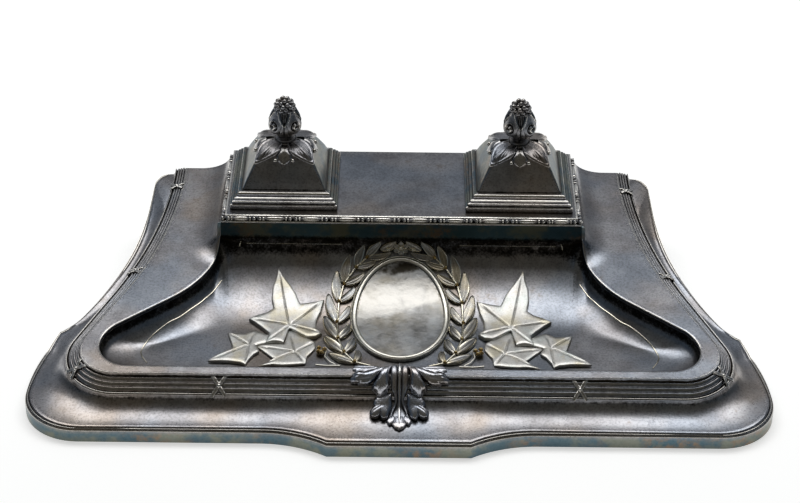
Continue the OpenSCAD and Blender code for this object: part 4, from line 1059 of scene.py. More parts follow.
# wreath: solder is the gap that a casting keeps to the metal under it
solder = 0.3
sideSign = {"left": -1, "right": 1}
wreath = {
    # from the foot up: node on the stem and the tip of its outer leaf, as (across, along the tray)
    "nodes": [(22.0, 4.6), (27.4, 12.9), (30.7, 24.6), (31.6, 38.1), (31.1, 53.3), (28.8, 64.7), (22.9, 74.8),
              (17.4, 80.7)],
    "outerTips": [(35.4, 12.4), (38.0, 27.2), (38.2, 43.6), (36.6, 59.0), (32.5, 73.2), (26.0, 82.2),
                  (18.9, 87.4),
                  (10.2, 89.6)],
    "innerTips": [(21.0, 15.0), (22.9, 25.5), (25.3, 37.0), (25.6, 51.0), (22.9, 63.0), (18.2, 71.6),
                  (12.6, 78.6),
                  (4.8, 83.4)],
    "foot": (14.0, 1.5), "topLeaf": [(10.6, 84.6), (2.4, 89.8)], "topWide": 4.2, "endSize": 0.86,
    "leafWide": 5.6, "leafCurl": -0.04, "innerWide": 4.8, "innerCurl": 0.1, "stemR": 0.75, "nodeR": 1.0,
    "leaf": {"base": solder, "lift": 0.7, "rim": 0.45, "rib": 0.1, "rise": 0.45, "flatWear": 0.42},
}
lensAcross = [-1.0, -0.97, -0.88, -0.74, -0.5, -0.25, -0.1, 0.0, 0.1, 0.25, 0.5, 0.74, 0.88, 0.97, 1.0]


# A long leaf with a raised outline, a sunk middle and a midrib
def addLens(shape, place, foot, tip, wide, look, curl=0.0, steps=16):
    dx, dy = tip[0] - foot[0], tip[1] - foot[1]
    length = hypot(dx, dy)
    ux, uy = dx / length, dy / length
    rows, wearAndShadings = [], []
    for k in range(steps + 1):
        t = k / steps
        half = wide / 2 * (max(0.0, sin(pi * t ** 0.85)) ** 0.6) + 0.04
        bow = curl * sin(pi * t) * length
        row, worn = [], []
        for c in lensAcross:
            x = foot[0] + ux * t * length - uy * (c * half + bow)
            s = foot[1] + uy * t * length + ux * (c * half + bow)
            rim = hump(abs(c), 0.85, 0.12)
            rib = hump(c, 0, 0.1) * (1 - 0.5 * t)
            ends = smooth(0, 0.08, t) * smooth(1.0, 0.93, t)
            h = look["base"] + look["lift"] * (0.25 + 0.75 * ends)
            h += ends * (look["rim"] * rim + look["rib"] * rib)
            h += look["rise"] * sin(pi * t)
            w = clamp(look["flatWear"] + 0.95 * rim + 0.35 * rib + 0.5 * (1 - ends))
            if abs(c) > 0.96:
                h = look["base"] + (0.0 if abs(c) == 1.0 else 0.55 * look["lift"])
            row.append(place(x, s, h))
            worn.append(w if abs(c) < 0.99 else 0.05)
        rows.append(row)
        wearAndShadings.append(worn)
    closeUnder(shape, addGrid(shape, rows, wearAndShadings), steps, len(lensAcross))


# The underside of a strip of rows: one face from side to side under each step
def closeUnder(shape, start, steps, m):
    for k in range(steps):
        a, b = start + k * m, start + (k + 1) * m
        shape["faces"].append((a, b, b + m - 1, a + m - 1))


# A round wire through points. place lifts it onto the piece that carries it, and r is one radius or one for
# each point.
def addTube(shape, points, r, place=None, steps=10, wear=0.8):
    pts = [place(*p) if place else p for p in points]
    rows = []
    for i, p in enumerate(pts):
        t = Vector(pts[min(len(pts) - 1, i + 1)]) - Vector(pts[max(0, i - 1)])
        t.normalize()
        side = t.cross(Vector((0, 0, 1)))
        side.normalize()
        up = side.cross(t)
        rr = r[i] if isinstance(r, list) else r
        turns = [2 * pi * k / steps for k in range(steps)]
        rows.append([tuple(Vector(p) + side * rr * cos(a) + up * rr * sin(a)) for a in turns])
    addGrid(shape, rows, wear, closeRow=True, capEnds=True)


# Where a point x out from the middle lies on the tray, on one side
def traySide(sign):
    def place(x, s, h):
        return onTray(sign * x, s, h)
    return place


# Where a turned form lies that stands on the tray at (x0, s0), h0 above it, and leans back by lean
def standOnTray(x0, s0, h0, lean=0.0):
    def place(x, y, z):
        return onTray(x0 + x, s0 + y - z * lean, h0 + z)
    return place


def makeWreath(side):
    w = wreath
    shape = newShape()
    place = traySide(sideSign[side])
    stem = []
    nodes = [w["foot"]] + w["nodes"]
    for a, b in zip(nodes, nodes[1:]):
        stem += [mixPoint(a, b, k / 6) for k in range(6)]
    stem.append(nodes[-1])
    count = len(stem)
    addTube(shape, [(x, s, solder + 0.9) for x, s in stem],
            [w["stemR"] * (1.0 - 0.45 * k / count) for k in range(count)], place)
    for k, foot in enumerate(w["nodes"]):
        size = 1.0 if 0 < k < 6 else w["endSize"]
        addLens(shape, place, foot, w["innerTips"][k], w["innerWide"] * size, w["leaf"], w["innerCurl"])
        addLens(shape, place, foot, w["outerTips"][k], w["leafWide"] * size, w["leaf"], w["leafCurl"])
    addLens(shape, place, *w["topLeaf"], w["topWide"], w["leaf"])
    makeObject("laurel_" + side, shape, brightPlate, "stand", ["wreath_" + side],
               sharp=50, merge=False)


def makeNodeBeads():
    shape = newShape()
    for sign in (-1, 1):
        for x, s in wreath["nodes"]:
            addTurned(shape, ballProfile(wreath["nodeR"], 0.9, -90, 90, 6),
                      standOnTray(sign * x, s, solder + 1.5), 10)
    makeObject("laurel_beads", shape, wornGilding, "stand", [], merge=False)


rosette = {
    "at": 86.0, "petals": 6, "petalFrom": 0.6, "petalTo": 4.3, "petalWide": 3.3,
    "petal": {"base": solder, "lift": 1.1, "rim": 0.4, "rib": 0.2, "rise": 0.5, "flatWear": 0.5},
    "bud": {"base": solder, "lift": 0.8, "rim": 0.4, "rib": 0.2, "rise": 0.3, "flatWear": 0.5},
}


def makeRosette():
    shape = newShape()
    r = rosette
    s0 = r["at"]
    for k in range(r["petals"]):
        a = 90 + 360 * k / r["petals"]
        foot = (r["petalFrom"] * cosD(a), s0 + r["petalFrom"] * sinD(a))
        tip = (r["petalTo"] * cosD(a), s0 + r["petalTo"] * sinD(a))
        addLens(shape, onTray, foot, tip, r["petalWide"], r["petal"])
    addTurned(shape, ballProfile(1.5, 1.0, -60, 90, 8), standOnTray(0, s0, solder + 1.6), 16)
    for sign in (-1, 1):
        budSeat = standOnTray(sign * 6.4, s0 - 1.0, solder + 0.9)
        addTurned(shape, ballProfile(1.3, 0.9, -60, 90, 6), budSeat, 12)
        addLens(shape, onTray, (sign * 3.6, s0 + 0.2), (sign * 9.6, s0 - 1.8), 2.4, r["bud"])
    makeObject("rosette", shape, brightPlate, "stand", ["wreath_rosette"], sharp=50,
               merge=False)


# ivy: three leaves on each side, each with its outline, the tips that its veins run to, and its middle
ivy = {
    "big": [(62.5, 73.5), (63.7, 66.6), (65.0, 61.8), (65.2, 54.3), (63.8, 47.7), (67.0, 44.5), (71.7, 42.3),
            (75.8, 39.5), (70.3, 33.8), (65.1, 27.4), (66.1, 19.6), (61.9, 20.5), (57.6, 19.6), (56.3, 26.3),
            (55.2, 31.6), (51.9, 29.3), (48.9, 26.4), (45.5, 24.1), (41.7, 24.9), (38.8, 27.9), (41.6, 32.3),
            (41.8, 38.7), (39.7, 46.1), (38.5, 54.0), (43.3, 52.4), (50.4, 51.0), (53.2, 58.3), (56.3, 63.7),
            (59.9, 68.9)],
    "bigTips": [(62.5, 73.5), (38.5, 54.0), (38.8, 27.9), (66.1, 19.6), (75.8, 39.5)],
    "bigMiddle": (55.2, 34.1),
    "small": [(85.6, 28.3), (82.7, 27.6), (77.0, 27.1), (72.4, 30.1), (67.0, 27.3), (65.0, 26.1),
              (66.1, 19.6),
              (70.7, 17.5), (69.0, 12.7), (71.6, 9.9), (74.1, 5.0), (75.2, 1.6), (77.7, 3.0), (83.4, 4.1),
              (93.6, 4.5), (88.5, 10.3), (82.1, 15.3), (83.6, 20.9)],
    "smallTips": [(85.6, 28.3), (72.4, 30.1), (93.6, 4.5), (75.2, 1.6)], "smallMiddle": (74.4, 17.4),
    "low": [(70.7, 17.5), (64.6, 19.2), (57.1, 19.4), (55.4, 31.0), (51.9, 29.3), (47.9, 25.6), (45.0, 24.1),
            (42.1, 21.7), (41.6, 16.0), (45.3, 9.2), (46.0, 3.4), (50.6, 2.5), (57.6, 1.8), (61.8, 2.3),
            (68.7, 1.2), (64.7, 3.8), (61.9, 7.3), (66.1, 12.0)],
    "lowTips": [(70.7, 17.5), (55.4, 31.0), (42.1, 21.7), (46.0, 3.4), (68.7, 1.2)],
    "lowMiddle": (51.4, 12.8),
    "look": {"base": solder, "vein": 0.45, "veinWide": 0.42, "edgeWear": 0.12},
    "layers": [("low", 0.6, 0.6, 2.0), ("small", 1.0, 0.7, 2.2), ("big", 1.5, 0.8, 2.6)],
     # lift, puff, its reach
    "berries": [(39.8, 15.6), (39.9, 12.6), (37.1, 14.5), (38.4, 11.8)], "berryR": 1.3,
    "tendril": [(36.0, 14.4), (36.8, 9.4), (34.4, 5.2), (31.2, 2.4)], "tendrilR": 0.45,
    "stalk": [(41, 2.4), (36, 1.6), (29, 1.8)], "stalkR": 0.55,
}


def makeIvy(side):
    shape = newShape()
    place = traySide(sideSign[side])
    for part, lift, puff, fall in ivy["layers"]:
        look = dict(ivy["look"], lift=lift, puff=puff, fall=fall)
        addLeaf(shape, place, lobedOutline(ivy[part], 0.03, 4), ivy[part + "Middle"], ivy[part + "Tips"],
                look)
    addTube(shape, [(x, s, solder + 0.8) for x, s in ivy["tendril"]], ivy["tendrilR"], place, 8, 0.9)
    addTube(shape, [(x, s, solder + 0.7) for x, s in ivy["stalk"]], ivy["stalkR"], place, 8, 0.8)
    makeObject("ivy_spray_" + side, shape, paleSilver, "stand", ["ivy_" + side], sharp=55,
               merge=False)


def makeBerries():
    shape = newShape()
    r = ivy["berryR"]
    profile = [(max(0.001, r * cosD(a)), r * sinD(a), 0.9) for a in range(-90, 61, 15)]
    profile += [(0.4, r * 0.8, 0.2), (0.2, r * 0.5, 0.0), (0.001, r * 0.45, 0.0)]
    for sign in (-1, 1):
        for x, s in ivy["berries"]:
            addTurned(shape, profile, standOnTray(sign * x, s, solder + 1.45, lean=0.5), 14)
    makeObject("ivy_fruit", shape, wornGilding, "stand", ["ivy_berries"], merge=False)


# medallion
medallion = {
    "wide": 50.4, "front": 6.5, "back": 9.2, "rim": 3.4, "steps": 168, "rows": 24, "underRows": 12,
    "dome": 0.8,
    # across the rim, from outside: (inset, height, wear), then a half-round bead and the inner edge
    "outer": [(0.0, 0.0, 0.0), (0.02, 0.7, 0.1), (0.06, 1.3, 0.4), (0.2, 1.62, 0.9), (0.42, 1.72, 1.0),
              (0.62, 1.58, 0.7), (0.74, 1.2, 0.0), (0.86, 1.0, 0.0), (0.98, 1.15, 0.1)],
    "bead": (2.1, 1.1, 1.1, 0.75),
    "inner": [(3.16, 1.0, 0.15), (3.3, 1.05, 0.3), (3.4, 0.95, 0.3), (3.4, 0.0, 0.0)],
}
trayLong = floorLong + bendLong + backFit[1] * radians(90 - plan["trayBend"])
medalLong = trayLong - medallion["front"] - medallion["back"]
medalAt = medallion["front"] + medalLong / 2


# Paler in a slanting middle band, duller below it and darkest at the top
def plaqueTone(x, z):
    low, high = onTray(0, medalAt - medalLong / 2, 0)[2], onTray(0, medalAt + medalLong / 2, 0)[2]
    up = (z - low) / (high - low) - 0.004 * x
    return 0.5 + 0.4 * smooth(0.12, 0.24, up) * smooth(0.66, 0.5, up) - 0.42 * smooth(0.56, 0.74, up)


# A ring of points round the medallion, halfW by halfL, at height h above the tray
def medalRing(halfW, halfL, h):
    n = medallion["steps"]
    return [onTray(halfW * sinD(360 * i / n), medalAt - halfL * cosD(360 * i / n), h) for i in range(n)]


def makeMedalRim():
    m = medallion
    shape = newShape()
    across, up, wide, high = m["bead"]
    bead = [(across + wide * cosD(a), up + high * sinD(a), 0.6 + 0.3 * sinD(a)) for a in range(165, 14, -15)]
    profile = m["outer"] + bead + m["inner"]
    rings = [medalRing(m["wide"] / 2 - u, medalLong / 2 - u, solder + h) for u, h, _ in profile]
    addGrid(shape, list(zip(*rings)), [w for _, _, w in profile], closeRow=True, closeRows=True, flip=True)
    makeObject("medallion_rim", shape, paleSilver, "stand", ["medallion_frame"], sharp=50)


def makePlaque():
    m = medallion
    n, dome = m["steps"], m["dome"]
    shape = newShape()
    halfW, halfL = m["wide"] / 2 - m["rim"] + 0.1, medalLong / 2 - m["rim"] + 0.1
    rows = []
    for k in range(m["rows"], 0, -1):
        t = k / m["rows"]
        rows.append(medalRing(halfW * t, halfL * t, solder + dome + dome * (1 - t * t)))
    start = addGrid(shape, rows, [[plaqueTone(x, z) for x, _, z in row] for row in rows], closeRow=True)
    shares = [k / m["underRows"] for k in range(m["underRows"], 0, -1)]
    under = [medalRing(halfW * t, halfL * t, solder) for t in shares]
    low = addGrid(shape, [rows[0]] + under, 0.2, closeRow=True, flip=True)
    top = onTray(0, medalAt, solder + 2 * dome)
    addFan(shape, start + (len(rows) - 1) * n, n, addPoint(shape, top, plaqueTone(0, top[2])))
    addFan(shape, low + len(under) * n, n, addPoint(shape, onTray(0, medalAt, solder), 0.2), flip=True)
    makeObject("plaque", shape, polishedSilver, "stand", ["medallion_plaque"], sharp=50)


# clasp over the front
reedsTop = (trayY - plan["borderWide"], plan["border"])
reedsFoot = (trayY - plan["borderWide"] - plan["reed"], plan["reedLow"])


# Point (y, z) at distance v down the front, over the border, the reeds and the skirt
def frontSurface(v):
    b = plan["borderWide"]
    r = hypot(plan["reed"], plan["border"] - plan["reedLow"])
    if v < b:
        return trayY - v, plan["border"]
    if v < b + r:
        return mixPoint(reedsTop, reedsFoot, (v - b) / r)
    d = plan["skirt"] + plan["tabOut"] - skirt["footWide"]
    u = min(1, (v - b - r) / d)
    a = degrees(asin(1 - u))
    return reedsFoot[0] - u * d, mix(plan["rimHigh"] + skirt["footHigh"], plan["reedLow"], 1 - cosD(a))


def onFront(x, v, h):
    a = [frontSurface(v + d) for d in (-2.4, -1.2, 0, 1.2, 2.4)]
    y, z = sum(p[0] for p in a) / 5, sum(p[1] for p in a) / 5
    ny, nz = a[4][1] - a[0][1], -(a[4][0] - a[0][0])
    k = hypot(ny, nz)
    return (x, y + h * ny / k, z + h * abs(nz) / k)


clasp = {
    # outlines of the left half's leaves as (across, down the front), each with its middle
    "hug": [(-5.3, 1.4), (-10.5, -0.1), (-14.6, -0.9), (-19.1, -1.1), (-22.0, -0.3), (-22.6, 2.4),
            (-20.9, 3.3),
            (-21.4, 4.3), (-19.0, 4.5), (-18.6, 3.8), (-17.6, 4.9), (-15.3, 4.5), (-12.5, 3.5), (-9.8, 2.1)],
    "hugMiddle": (-12.5, 1.6),
    "side": [(-5.3, 1.8), (-9.8, 2.4), (-12.2, 3.8), (-14.6, 4.7), (-18.1, 5.3), (-21.6, 5.1), (-22.8, 5.8),
             (-22.3, 6.6), (-23.4, 7.4), (-23.6, 8.6), (-22.9, 9.6), (-21.6, 10.1), (-20.1, 10.0),
             (-19.7, 10.9),
             (-18.1, 11.3), (-15.7, 11.1), (-13.8, 9.9), (-11.5, 7.8), (-9.4, 5.9), (-6.7, 3.6)],
    "sideMiddle": (-14.0, 7.0),
    "low": [(-3.6, 14.0), (-7.3, 14.6), (-10.8, 15.6), (-12.2, 17.2), (-12.5, 18.6), (-12.7, 19.8),
            (-11.9, 20.4),
            (-13.2, 21.4), (-14.1, 23.1), (-14.1, 24.7), (-13.2, 26.1), (-11.5, 26.7), (-9.9, 26.1),
            (-9.1, 25.2),
            (-8.7, 26.7), (-7.7, 27.4), (-6.3, 27.0), (-5.1, 25.5), (-4.0, 22.7), (-3.2, 19.4)],
    "lowMiddle": (-8.0, 20.6),
    "petal": [(-3.9, 1.9), (-6.7, 2.2), (-8.6, 4.0), (-10.3, 6.4), (-12.4, 9.3), (-13.2, 10.9), (-13.4, 12.9),
              (-12.7, 14.1), (-11.3, 14.6), (-10.8, 15.7), (-9.1, 16.2), (-7.3, 15.2), (-5.6, 14.1),
              (-4.4, 11.6),
              (-4.6, 7.6), (-4.8, 4.9)],
    "petalMiddle": (-8.4, 9.4),
    "lobe": [(-2.4, 24.7), (-4.2, 25.4), (-5.3, 26.3), (-6.0, 28.0), (-5.5, 29.4), (-4.5, 30.8), (-3.2, 29.8),
             (-2.1, 28.0), (-1.8, 26.3)],
    "lobeMiddle": (-3.9, 27.6),
    "toe": [(-1.8, 25.0), (-2.3, 28.0), (-3.5, 30.4), (-2.2, 32.6), (0.0, 34.0), (2.2, 32.6), (3.5, 30.4),
            (2.3, 28.0), (1.8, 25.0)],
    "toeMiddle": (0.0, 29.8),
    # name, foot of its edge, height of its edge, puff, reach of the puff, swell, vein towards its tip
    "layers": [("hug", 0.2, 0.7, 0.9, 2.6, 0.0, (-21.0, 1.2)),
               ("side", 0.5, 1.2, 1.5, 3.6, 0.9, (-22.6, 8.2)),
               ("low", 0.6, 1.3, 2.4, 4.0, 0.0, (-13.4, 24.6)), ("lobe", 0.3, 0.6, 0.8, 2.0, 0.0, None),
               ("petal", 0.8, 1.2, 2.6, 4.4, 0.75, None)],
    "look": {"vein": 0.15, "veinWide": 0.5, "edgeWear": 0.0, "round": True, "swellAt": (8.5, 6.0)},
    # across at the top and the foot, radius at the top and the foot, height, end
    "columns": [(-2.6, -2.3, 1.75, 0.65, 1.6, 25.5), (2.6, 2.3, 1.75, 0.65, 1.6, 25.5),
                (0.0, 0.0, 0.72, 0.55, 2.9, 30.0)],
    "columnSteps": 36, "roundSteps": 12,
}


def makeClasp():
    shape = newShape()
    c = clasp
    for sign in (1, -1):
        for name, base, lift, puff, fall, swell, tip in c["layers"]:
            edge = [(sign * x, v) for x, v in c[name]][::sign]
            middle = (sign * c[name + "Middle"][0], c[name + "Middle"][1])
            tips = [(sign * tip[0], tip[1])] if tip else []
            look = dict(c["look"], base=base, lift=lift, puff=puff, fall=fall, swell=swell)
            addLeaf(shape, onFront, lobedOutline(edge, 0.05, 4), middle, tips, look)
    toeLook = dict(c["look"], base=0.3, lift=0.6, puff=0.9, vein=0.0, fall=2.6, swell=0.0)
    addLeaf(shape, onFront, lobedOutline(c["toe"], 0.05, 6), c["toeMiddle"], [], toeLook)
    # two round columns that thin into ribs beside the lower leaves, and a fine rib between them
    arc = 180 / c["roundSteps"]
    for x0, x1, r0, r1, h, end in c["columns"]:
        rows = []
        for k in range(c["columnSteps"] + 1):
            v = mix(-0.6, end, k / c["columnSteps"])
            t = smooth(8.0, 19.0, v)
            x = mix(x0, x1, t) - 0.9 * (x0 / 2.6) * hump(v, 16.5, 3.0)
            x += 1.5 * (x0 / 2.6) * smooth(18.0, 26.0, v)
            rr = mix(r0, r1, t) * smooth(-1.6, 1.5, v) * (0.3 + 0.7 * smooth(end + 0.5, end - 4.0, v))
            row = [onFront(x - rr * cosD(arc * j), v, h - 0.3 * t + rr * 0.85 * sinD(arc * j))
                   for j in range(c["roundSteps"] + 1)]
            rows.append(row + [onFront(x + rr, v, 0.4), onFront(x - rr, v, 0.4)])
        worn = [0.1 + (0.4 if x0 else 0.8) * sinD(arc * j) for j in range(c["roundSteps"] + 1)] + [0.05, 0.05]
        addGrid(shape, rows, worn, closeRow=True, capEnds=True)
    makeObject("acanthus_clasp", shape, chasedSilverWithSheen, "stand", ["clasp_leaf"], sharp=55,
               merge=False)


# lids
lidLook = {
    # across the steps of the frame: (share of its inset, share of its height, wear)
    "steps": [(0.0, 0.0, 0.3), (0.0, 0.26, 0.45), (0.01, 0.31, 0.9), (0.035, 0.335, 1.0), (0.16, 0.345, 0.5),
              (0.18, 0.35, 0.1), (0.19, 0.48, 0.3), (0.2, 0.515, 0.9), (0.225, 0.53, 1.0), (0.38, 0.545, 0.5),
              (0.405, 0.56, 0.1), (0.42, 0.66, 0.4), (0.435, 0.7, 1.0), (0.47, 0.715, 1.0),
              (0.64, 0.725, 0.5),
              (0.67, 0.735, 0.1), (0.69, 0.84, 0.4), (0.705, 0.905, 0.9), (0.75, 0.955, 1.0),
              (0.84, 0.99, 1.0),
              (0.93, 1.0, 0.9), (1.0, 0.985, 0.6)],
    # up the bell: (share of its half width, share of its height)
    "bell": [(0.965, 0.03), (0.93, 0.12), (0.885, 0.24), (0.79, 0.46), (0.69, 0.68), (0.635, 0.8),
             (0.57, 0.89),
             (0.48, 0.95), (0.36, 0.99), (0.25, 1.0)],
    "bellCuts": 5, "cornerR": (0.9, 3.4), "frameCornerR": 0.7, "wall": 1.8, "gap": 0.25, "cavity": 23.6,
}
lidY = deckY + plan["lidFront"] + plan["lidWidth"] / 2
lidXs = {"left": -plan["wellSpan"] / 2, "right": plan["wellSpan"] / 2}
lidLow = plan["deckHigh"] + lidLook["gap"]
lidTop = plan["deckHigh"] + plan["lidHigh"]
bellLine = smoothLine(lidLook["bell"], lidLook["bellCuts"])


# Half width of the bell at share q of its height
def bellHalf(q):
    line = bellLine
    for a, b in zip(line, line[1:]):
        if a[1] <= q <= b[1] and b[1] > a[1]:
            return plan["lidLip"] / 2 * mix(a[0], b[0], (q - a[1]) / (b[1] - a[1]))
    return plan["lidLip"] / 2 * (line[0][0] if q < line[0][1] else line[-1][0])


def bellHeight(q):
    return plan["deckHigh"] + mix(plan["lidFrameHigh"], plan["lidHigh"], q)


def bellCornerR(q):
    low, more = lidLook["cornerR"]
    return low + more * q ** 2


# A square of half width a with corners of radius r, seen from above, anticlockwise
def squareRing(a, r, z, perSide=10, perCorner=6):
    ring = []
    for turn in (0, 90, 180, 270):
        arc = [90 * k / perCorner for k in range(perCorner + 1)]
        quarter = [(a - r + r * cosD(t), a - r + r * sinD(t)) for t in arc]
        quarter += [(mix(a - r, r - a, k / perSide), a) for k in range(1, perSide)]
        ring += [(x * cosD(turn) - y * sinD(turn), x * sinD(turn) + y * cosD(turn), z) for x, y in quarter]
    return ring


# Rings as (half width, corner radius, height, wear): the outside from the foot up, and the inside from the
# top down
def lidRings():
    look = lidLook
    lip = plan["lidLip"] / 2
    inset = (plan["lidWidth"] - plan["lidLip"]) / 2
    outer = [(plan["lidWidth"] / 2 - inset * t, look["frameCornerR"],
              lidLow + (plan["lidFrameHigh"] - look["gap"]) * q, worn) for t, q, worn in look["steps"]]
    for share, q in bellLine:
        a = lip * share
        outer.append((a, min(a * 0.95, bellCornerR(q)), bellHeight(q), 0.15 if q < 0.05 else 0.5))
    inner = [(6.6, lidTop - look["wall"])]
    inner += [(lip * share - look["wall"], bellHeight(q) - look["wall"] * (1 - share))
              for share, q in reversed(bellLine[::3]) if 0.3 < share < 0.95]
    inner += [(lip - look["wall"] - 0.6, plan["deckHigh"] + plan["lidFrameHigh"] - 1.2),
              (look["cavity"] + 0.6, lidLow + 2.8), (look["cavity"] + 0.6, lidLow)]
    return outer, [(a, min(1.2, a * 0.5), z, 0.3) for a, z in inner]


def makeLid(side):
    cx = lidXs[side]
    shape = newShape()
    starts, counts = [], []
    for rings in lidRings():
        rows = [[(x + cx, y + lidY, z) for x, y, z in squareRing(*ring[:3])] for ring in rings]
        n = len(rows[0])
        starts.append(addGrid(shape, rows, [[ring[3]] * n for ring in rings], closeRow=True))
        counts.append(len(rows))
    lastOuter = starts[0] + (counts[0] - 1) * n
    lastInner = starts[1] + (counts[1] - 1) * n
    shape["faces"].append(tuple(lastOuter + j for j in range(n)))
    shape["faces"].append(tuple(starts[1] + j for j in range(n - 1, -1, -1)))
    for j in range(n):
        k = (j + 1) % n
        shape["faces"].append((lastInner + j, lastInner + k, k, j))

    # the two sides of a lid are painted darker than its front and back, a painted shade, and carry a painted
    # bluish reflection
    def sideShadeAndReflection(x, y):
        return smooth(0.2, 0.8, abs(x - cx) - abs(y - lidY))

    # painted shade on the two sides
    shape["wear"] = [w - 0.3 * sideShadeAndReflection(x, y) for w, (x, y, _) in zip(shape["wear"], shape["points"])]
    makeObject("lid_dressed_" + side, shape, silverPlate, "lid_" + side, ["lid_" + side],
               sharp=40, film=lambda x, y, z: 0.8 * sideShadeAndReflection(x, y))


# A point at angle a and height share q on the bell, h out from it
def onBell(a, q, h):
    def at(angle, share):
        r = bellHalf(share) / max(abs(cosD(angle)), abs(sinD(angle)))
        r = max(r - abs(sinD(2 * angle)) ** 6 * bellCornerR(share) * 0.41, 5.0)
        return Vector((r * cosD(angle), r * sinD(angle), bellHeight(share)))

    p = at(a, q)
    du = at(a + 1.5, q) - at(a - 1.5, q)
    dv = at(a, min(1, q + 0.01)) - at(a, q - 0.03)
    n = du.cross(dv)
    n.normalize()
    if n.z < 0:
        n = -n
    return p + n * h


# Where a turned form lies that stands on the point o
def standAt(o):
    def place(x, y, z):
        return (o[0] + x, o[1] + y, o[2] + z)
    return place


# calyx
calyx = {
    # petals: height share of the tip, rise of the edge from it, where along the edge that ends, flutes, cuts
    "tip": 0.63, "rise": 0.32, "edge": 0.84, "veins": 7, "slope": 24.0, "across": 44, "down": 22,
    # small leaves and beads between the petals
    "leafTip": 0.65, "leafWide": 4.2, "leafSteps": 16, "leafAcross": 12, "bead": 1.1, "beadAcross": 4.4,
    "beadQ": 0.755,
    "collar": [(0.01, -0.4, 0.1), (6.3, -0.4, 0.1), (6.5, 0.1, 0.3), (6.3, 0.5, 0.6), (5.9, 0.62, 0.5),
               (5.4, 0.35, 0.1), (0.01, 0.35, 0.1)],
}


# A petal over one corner, from the finial's foot down to an edge that rises towards the middle of each face
def addPetal(shape, seat, corner):
    c = calyx
    widest = 45 - degrees(atan2(1 - c["edge"], 1))
    across, down = c["across"], c["down"]
    rows, wearAndShadings, lower = [], [], []
    for i in range(down + 1):
        row, worn, under = [], [], []
        for j in range(across + 1):
            turn = widest * (-1 + 2 * j / across)
            share = 1 - tan(radians(45 - abs(turn)))
            low = c["tip"] + c["rise"] * clamp(share / c["edge"]) ** 1.15
            q = mix(1.0, low, (i / down) ** 0.9)
            inside = (q - low) * c["slope"]
            band = smooth(2.6, 1.6, inside)
            flute = cos(pi * c["veins"] * turn / widest) ** 8 * smooth(1.6, 3.0, inside)
            flute *= smooth(1.0, 0.94, q)
            h = solder + 0.15 + 0.35 * smooth(0.0, 0.5, inside) + 0.3 * band - 0.26 * flute
            row.append(seat(onBell(corner + turn, q, h)))
            worn.append(clamp(0.44 + 0.16 * band - 0.4 * flute))
            under.append(seat(onBell(corner + turn, q, 0.1)))
        rows.append(row)
        wearAndShadings.append(worn)
        lower.append(under)
    start = addGrid(shape, rows, wearAndShadings)
    under = addGrid(shape, lower, 0.05, flip=True)
    m = across + 1
    border = (list(range(m)) + [i * m + m - 1 for i in range(1, down + 1)]
              + [down * m + j for j in range(m - 2, -1, -1)] + [i * m for i in range(down - 1, 0, -1)])
    for a, b in zip(border, border[1:] + border[:1]):
        shape["faces"].append((start + a, start + b, under + b, under + a))


# A small leaf between the petals in the middle of one face, with a bead on each side
def addFaceLeaf(shape, seat, face):
    c = calyx

    def onFace(w, v, h):
        return seat(onBell(face + degrees(atan2(w, max(5.5, bellHalf(1 - v)))), 1 - v, h))

    rows, wearAndShadings = [], []
    for i in range(c["leafSteps"] + 1):
        t = i / c["leafSteps"]
        half = c["leafWide"] * (0.5 + 0.5 * smooth(0, 0.4, t))
        half *= 1.0 if t < 0.4 else sqrt(max(0.0, 1 - ((t - 0.4) / 0.6) ** 1.5))
        row, worn = [], []
        for j in range(c["leafAcross"] + 1):
            u = -1 + 2 * j / c["leafAcross"]
            h = 0.1 if abs(u) == 1 else 0.6 + 0.75 * (1 - u * u)
            row.append(onFace(u * half, mix(0.03, 1 - c["leafTip"], t), h))
            worn.append(0.8 - 0.6 * abs(u) ** 4)
        rows.append(row)
        wearAndShadings.append(worn)
    start, m = addGrid(shape, rows, wearAndShadings), c["leafAcross"] + 1
    for a in range(start, start + c["leafSteps"] * m, m):
        shape["faces"].append((a + m - 1, a + 2 * m - 1, a + m, a))
    for w in (-1, 1):
        centre = Vector(onFace(w * c["beadAcross"], 1 - c["beadQ"], 0.85))
        addTurned(shape, ballProfile(c["bead"], 0.9, -90, 90, 8), standAt(centre), 14)


def makeCalyx(side):
    cx = lidXs[side]
    shape = newShape()

    def seat(p):
        return (p[0] + cx, p[1] + lidY, p[2])

    for corner in (45, 135, 225, 315):
        addPetal(shape, seat, corner)
    for face in (0, 90, 180, 270):
        addFaceLeaf(shape, seat, face)
    # round collar under the finial
    addTurned(shape, calyx["collar"], standAt((cx, lidY, lidTop)), 40)
    makeObject("lotus_cap_" + side, shape, silverPlate, "lid_" + side, ["calyx_" + side],
               sharp=55, merge=False)


# finial
finial = {
    # (radius, height): foot, stem and bud
    "line": [(0.01, 0.0), (4.6, 0.0), (4.95, 0.35), (5.0, 0.75), (4.8, 1.15), (4.2, 1.4), (3.6, 1.7),
             (3.3, 2.1),
             (3.6, 2.6), (4.9, 3.4), (6.5, 4.6), (7.8, 6.1), (8.45, 7.8), (8.5, 9.3), (8.2, 11.0),
             (7.6, 12.8),
             (6.9, 14.6), (6.2, 16.2), (5.7, 17.4), (5.3, 17.9), (4.9, 17.6), (4.3, 16.8), (0.01, 16.6)],
    "cuts": 6, "steps": 192, "volute": (10.6, 3.4, 2.4), "grainR": 1.35, "domeR": 4.6, "domeZ": 18.5,
    "grains": 34,
    "seed": 11,
    # the stud that goes down through the lid
    "stud": [(0.01, -8.8, 0.3), (1.8, -8.8, 0.3), (2.0, -8.5, 0.4), (2.0, 0.5, 0.4), (0.01, 0.5, 0.4)],
}
finialZ = lidTop + solder


